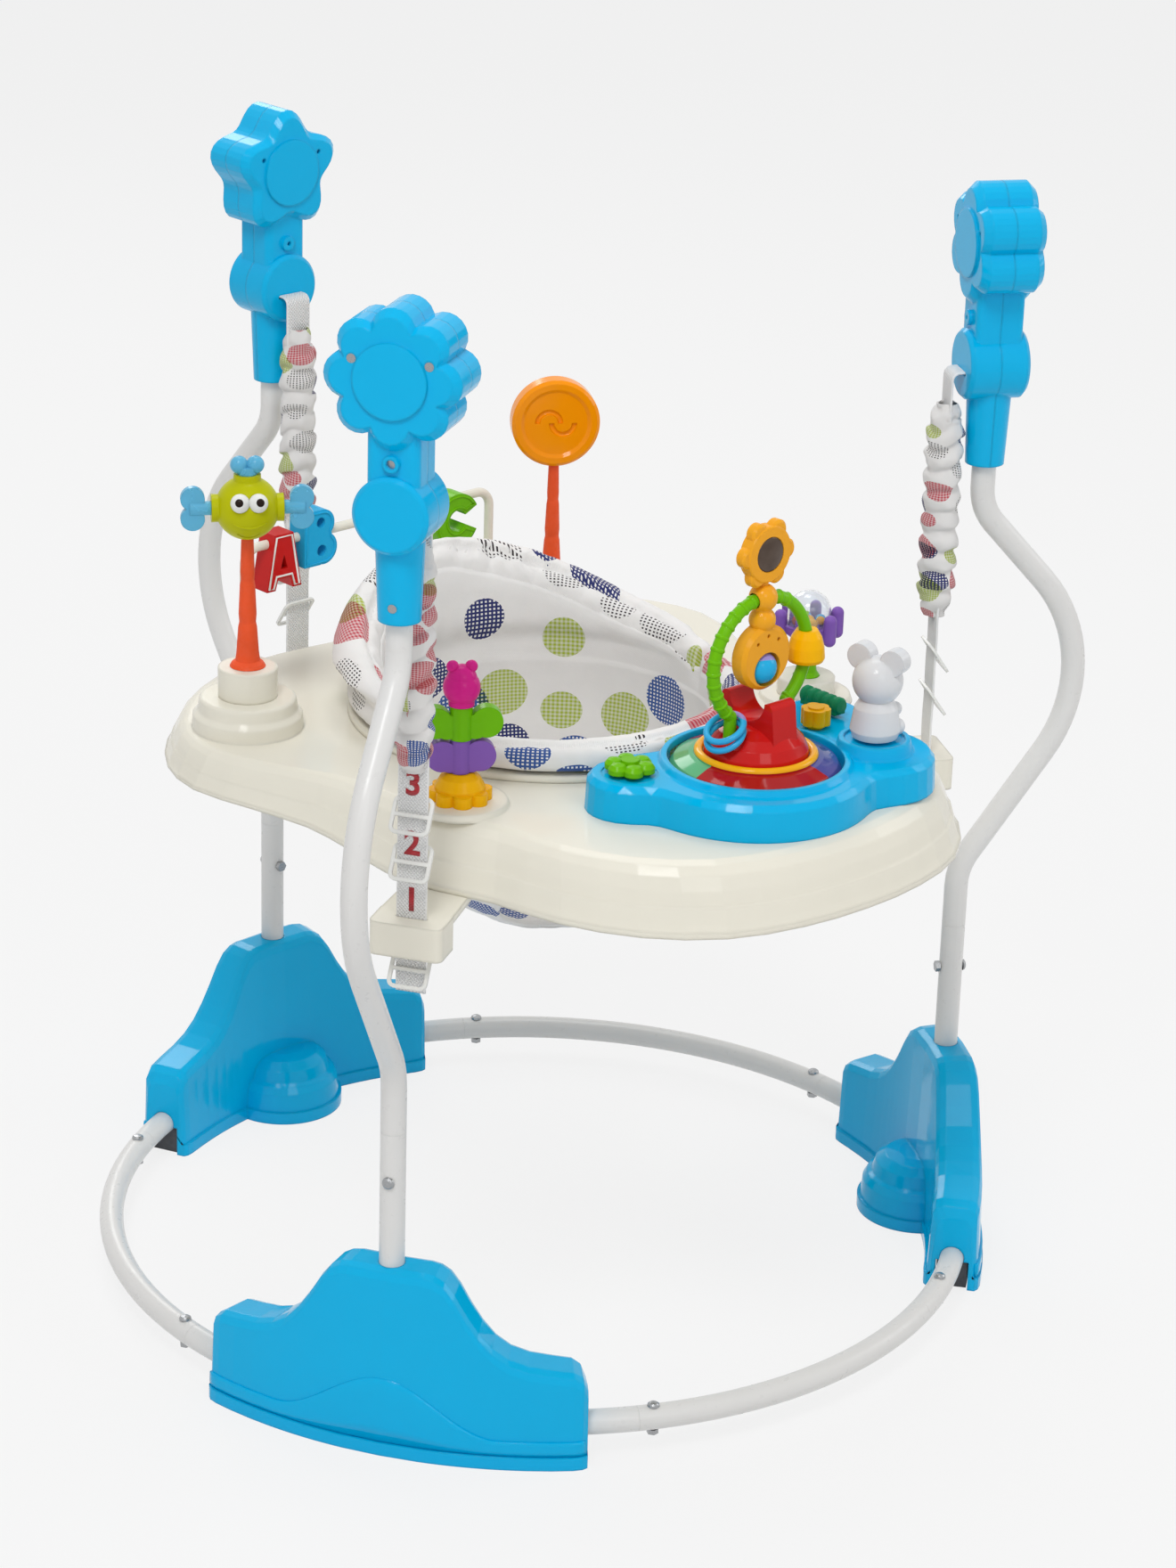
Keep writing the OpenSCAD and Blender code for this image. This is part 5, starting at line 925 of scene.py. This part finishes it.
# Toy details
# Profiles are pairs of radius and height, with a point near the axis at each closed end
PUPIL = [(0.0001, 0.0079), (0.002, 0.0078), (0.0031, 0.0073), (0.0033, 0.0068), (0.0001, 0.006)]
RIB = [(-0.0004, -0.0022), (0.0005, -0.001), (0.0009, 0.0002), (0.0004, 0.0014), (-0.0004, 0.002)]
GLASS = [(0.0001, 0.0), (0.0136, 0.0), (0.0136, 0.0006), (0.0130, 0.0009), (0.0001, 0.0011)]
PETAL_HOLE = [(0.0001, 0.0003), (0.0014, 0.0003), (0.0018, 0.0006), (0.0024, 0.0004), (0.0025, -0.0004)]
PETALS, PETAL_R = 6, 0.0195
SUN_FACE, SUN_HOLE_FACE = 0.0050, 0.0048
BEAR_LOOK = 15
BEAR_FEATURES = ((-34, 24, 0.0199, 0.0024), (34, 24, 0.0199, 0.0024), (0, 4, 0.0238, 0.0028))
LINE_R = 0.0010
FACES = (-1, 1)


def detail(name, mesh, material, body, slot):
    """A small piece on a toy."""
    piece(name, mesh, material, body)


def fish_way(turn, lift):
    """A direction from the fish's middle, turned from its face and lifted."""
    return aimed(FISH_LOOK + turn, lift)


pupils = [lathe("pupil", PUPIL, FISH + FISH_R * fish_way(side * 18, 24), fish_way(side * 10, 20), 24) for side in FACES]
detail("fish_pupils", merged("pupils", pupils), "dark", "fish_toy", "eye_white")

# Ribs of the loop, away from its top, where the rattle hangs, and from the bead's way
ribs = []
for a in range(-50, 232, 11):
    if abs(a - 90) < 14 or -44 < a < 54:
        continue
    t = math.radians(a)
    mid = Vector((TABLE.x + LOOP_R * math.cos(t), TABLE.y, LOOP_Z + LOOP_R * math.sin(t)))
    way = Vector((-math.sin(t), 0, math.cos(t)))
    ribs.append(lathe("rib", [(LOOP_WIRE + r, h) for r, h in RIB], mid, way, 24))
detail("loop_ribs", merged("ribs", ribs), "green", "turntable_body", "green")

# Mirror and petal holes of the sunflower, on both faces; each hole is a dark disc, painted shade
sun_low, sun_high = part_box("sun_mirror")
sun = (sun_low + sun_high) / 2
glass = [lathe("glass", GLASS, Vector((0, sun.y + s * SUN_FACE, sun.z)), (0, s, 0), 48) for s in FACES]
detail("sun_mirror_glass", merged("glass", glass), "mirror", "rattle", "orange")
holes = []
for k in range(PETALS):
    t = math.radians((k + 0.5) * 360 / PETALS)
    for s in FACES:
        at = Vector((PETAL_R * math.sin(t), sun.y + s * SUN_HOLE_FACE, sun.z + PETAL_R * math.cos(t)))
        holes.append(lathe("hole", PETAL_HOLE, at, (0, s, 0), 20))
detail("sun_petal_holes", merged("holes", holes), "dark", "rattle", "orange")

# Smile of the fish
smile = [FISH + (FISH_R - 0.0002) * fish_way(t, -14 - 9 * math.cos(math.radians(t * 2.6))) for t in range(-34, 35, 4)]
thickness = [0.0004 + 0.0008 * math.sin(math.pi * (k + 0.5) / len(smile)) for k in range(len(smile))]
detail("fish_smile", tube("smile", smile, thickness, 8), "lime", "fish_toy", "lime")

# Eyes and nose of the bear; the eyes are dark discs, painted shade in the eye holes
bear_at = Vector((0.0912, -0.3241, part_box("bear")[1].z - 0.0284))
features = []
for turn, lift, far, size in BEAR_FEATURES:
    way = aimed(BEAR_LOOK + turn, lift)
    profile = [(0.0001, 0.0009), (size * 0.6, 0.0008), (size * 0.9, 0.0004), (size, -0.0004), (0.0001, -0.0012)]
    features.append(lathe("feature", profile, bear_at + way * far, way, 20))
detail("bear_features", merged("features", features), "dark", "bear_body", "white_gloss")


# Letter faces: a raised line inside each outline, front and back
def bow(x, z, r, start, end, n=14):
    """Points on part of a circle, in shares of the letter's height."""
    turns = [math.radians(start + (end - start) * k / n) for k in range(n + 1)]
    return [(x + r * math.cos(t), z + r * math.sin(t)) for t in turns]


# Each letter's place along the arch, its drop in shares of its height, its colour and its outline
LETTER_LINES = [
    ("letter_a", -0.100, -0.3, "white", [(-0.33, -0.46), (-0.23, -0.46), (-0.17, -0.25), (0.17, -0.25), (0.23, -0.46),
                                         (0.33, -0.46), (0.165, 0.455), (-0.165, 0.455)]),
    ("letter_b", -0.061, -0.03, "sky", [(-0.31, -0.45), (-0.31, 0.45)] + bow(0.04, 0.24, 0.21, 90, -40)
     + bow(0.07, -0.21, 0.24, 48, -90)),
    ("letter_c", 0.090, -0.36, "green", bow(0, 0, 0.45, 34, 326, 40) + bow(0, 0, 0.25, 316, 44, 30)),
]
for name, x, drop, colour, outline in LETTER_LINES:
    lines = []
    for s in FACES:
        y = ARCH.y + s * LETTER_T / 2
        path = [Vector((x + px * LETTER_H, y, ARCH.z + (drop + pz) * LETTER_H)) for px, pz in outline]
        lines.append(tube("line", path, LINE_R, 8, True))
    detail(name + "_line", merged("lines", lines), colour, name + "_body", "white_gloss")

# Feet: the lower skirt stands proud below a wavy edge, on the outer face
SKIRT_LOW, SKIRT_END, SKIRT_HUMP, SKIRT_REACH = 0.0125, 0.024, 0.042, 0.58
SKIRT_COLUMNS, SKIRT_SHARE = 120, 0.985
FAR_OUT = 0.6
# Shares of the way up from the low edge to the wavy one, with the height off the foot's skin
SKIRT_SECTION = ((0.0, -0.0006), (0.0, 0.0016), (0.25, 0.0020), (0.5, 0.0020), (0.75, 0.0020), (0.93, 0.0020),
                 (0.975, 0.0015), (1.0, 0.0004), (1.02, -0.0006))


def skirt_edge(t):
    """Height of the wavy edge at a share of the foot's half length."""
    hump = 0.5 + 0.5 * math.cos(math.pi * t / SKIRT_REACH) if abs(t) < SKIRT_REACH else 0.0
    return SKIRT_END + SKIRT_HUMP * hump


skirts = []
for node, a in zip(("foot_cover_rear", "foot_cover_left", "foot_cover_right"), POST_ANGLES):
    skin = tree_of(NODES[node])
    rows = []
    for k in range(SKIRT_COLUMNS + 1):
        t = SKIRT_SHARE * (2 * k / SKIRT_COLUMNS - 1)
        heading = a + FOOT_SPAN * t
        row = []
        for share, lift in SKIRT_SECTION:
            z = SKIRT_LOW + (skirt_edge(t) - SKIRT_LOW) * share
            hit, normal = skin.ray_cast(polar(FAR_OUT, heading, z), -aimed(heading))[:2]
            row.append(hit + normal * lift if hit else None)
        if None not in row:
            rows.append(row)
    skirts.append(woven_grid("skirt", rows, around=True, caps=True))
detail("foot_skirts", merged("skirts", skirts), "blue", "frame", "blue_gloss")

# Camera, floor and light
CAMERA_TURN, CAMERA_RISE, CAMERA_ROLL = (math.radians(x) for x in (-43.15, 21.77, 1.74))
CAMERA_AT = Vector((-2.1201, -2.3578, 1.6726))
FOCAL_PX, PHOTO_H, SENSOR = 4614, 1760, 36
PALE, FLOOR_MATT, FLOOR_GLOW, SKY_LIGHT = 0.925, 0.9, 0.88, 0.48
FLOOR_HALF = 20
LIT = Vector((0, -0.05, 0.45))
back_way = Vector((math.sin(CAMERA_TURN) * math.cos(CAMERA_RISE), -math.cos(CAMERA_TURN) * math.cos(CAMERA_RISE),
                   math.sin(CAMERA_RISE)))
level = Vector((math.cos(CAMERA_TURN), math.sin(CAMERA_TURN), 0))
upright = back_way.cross(level)
right = level * math.cos(CAMERA_ROLL) + upright * math.sin(CAMERA_ROLL)
up = upright * math.cos(CAMERA_ROLL) - level * math.sin(CAMERA_ROLL)
lens = bpy.data.cameras.new("photo_camera")
lens.sensor_fit = "VERTICAL"
lens.sensor_height = SENSOR
lens.lens = FOCAL_PX / PHOTO_H * SENSOR
camera = bpy.data.objects.new("photo_camera", lens)
SCENE.collection.objects.link(camera)
camera.matrix_world = Matrix.Translation(CAMERA_AT) @ Matrix((right, up, back_way)).transposed().to_4x4()
SCENE.camera = camera


def pale_rays(tree):
    """1 for the rays that show a background: those of the camera, of gloss and through clear pieces."""
    rays = tree.nodes.new("ShaderNodeLightPath")
    last = rays.outputs["Is Camera Ray"]
    for kind in ("Is Glossy Ray", "Is Transmission Ray"):
        more = tree.nodes.new("ShaderNodeMath")
        more.operation = "MAXIMUM"
        tree.links.new(last, more.inputs[0])
        tree.links.new(rays.outputs[kind], more.inputs[1])
        last = more.outputs[0]
    return last


def mixed(tree, share, first, second):
    """A mix of two shaders, led to the tree's output."""
    mix = tree.nodes.new("ShaderNodeMixShader")
    tree.links.new(share, mix.inputs[0])
    tree.links.new(first.outputs[0], mix.inputs[1])
    tree.links.new(second.outputs[0], mix.inputs[2])
    ends = next(node for node in tree.nodes if node.type.startswith("OUTPUT"))
    tree.links.new(mix.outputs[0], ends.inputs[0])


reach = (-FLOOR_HALF, FLOOR_HALF)
floor_mesh = woven_grid("floor", [[Vector((x, y, 0)) for x in reach] for y in reach])
floor = bpy.data.objects.new("floor", floor_mesh)
SCENE.collection.objects.link(floor)
paper = bpy.data.materials.new("pale_floor")
paper.use_nodes = True
tree = paper.node_tree
tree.nodes.remove(tree.nodes["Principled BSDF"])
glow = tree.nodes.new("ShaderNodeEmission")
glow.inputs["Color"].default_value = (*[PALE] * 3, 1)
matt = tree.nodes.new("ShaderNodeBsdfDiffuse")
matt.inputs["Color"].default_value = (*[FLOOR_MATT] * 3, 1)
seen = tree.nodes.new("ShaderNodeMath")
seen.operation = "MULTIPLY"
tree.links.new(pale_rays(tree), seen.inputs[0])
seen.inputs[1].default_value = FLOOR_GLOW
mixed(tree, seen.outputs[0], matt, glow)
floor_mesh.materials.append(paper)
floor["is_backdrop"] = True

world = bpy.data.worlds.new("studio")
SCENE.world = world
world.use_nodes = True
tree = world.node_tree
light = tree.nodes["Background"]
light.inputs["Color"].default_value = (1, 1, 1, 1)
light.inputs["Strength"].default_value = SKY_LIGHT
shown = tree.nodes.new("ShaderNodeBackground")
shown.inputs["Color"].default_value = (1, 1, 1, 1)
shown.inputs["Strength"].default_value = PALE
mixed(tree, pale_rays(tree), light, shown)

# Each lamp's name, place, size and power
LAMPS = [("key", (-1.9, -1.3, 3.6), 1.2, 54), ("fill", (3.0, -1.6, 1.9), 1.6, 16), ("top", (0.6, 0.9, 3.4), 1.4, 20),
         ("rim", (1.4, 3.0, 2.2), 1.2, 16), ("front", (-1.2, -3.2, 2.4), 1.5, 16)]
for name, at, size, power in LAMPS:
    lamp = bpy.data.lights.new(name, "AREA")
    lamp.shape = "DISK"
    lamp.size = size
    lamp.energy = power
    obj = bpy.data.objects.new(name, lamp)
    SCENE.collection.objects.link(obj)
    obj.location = at
    obj.rotation_euler = (LIT - Vector(at)).to_track_quat("-Z", "Y").to_euler()

SCENE.view_settings.view_transform = "Standard"

low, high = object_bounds()
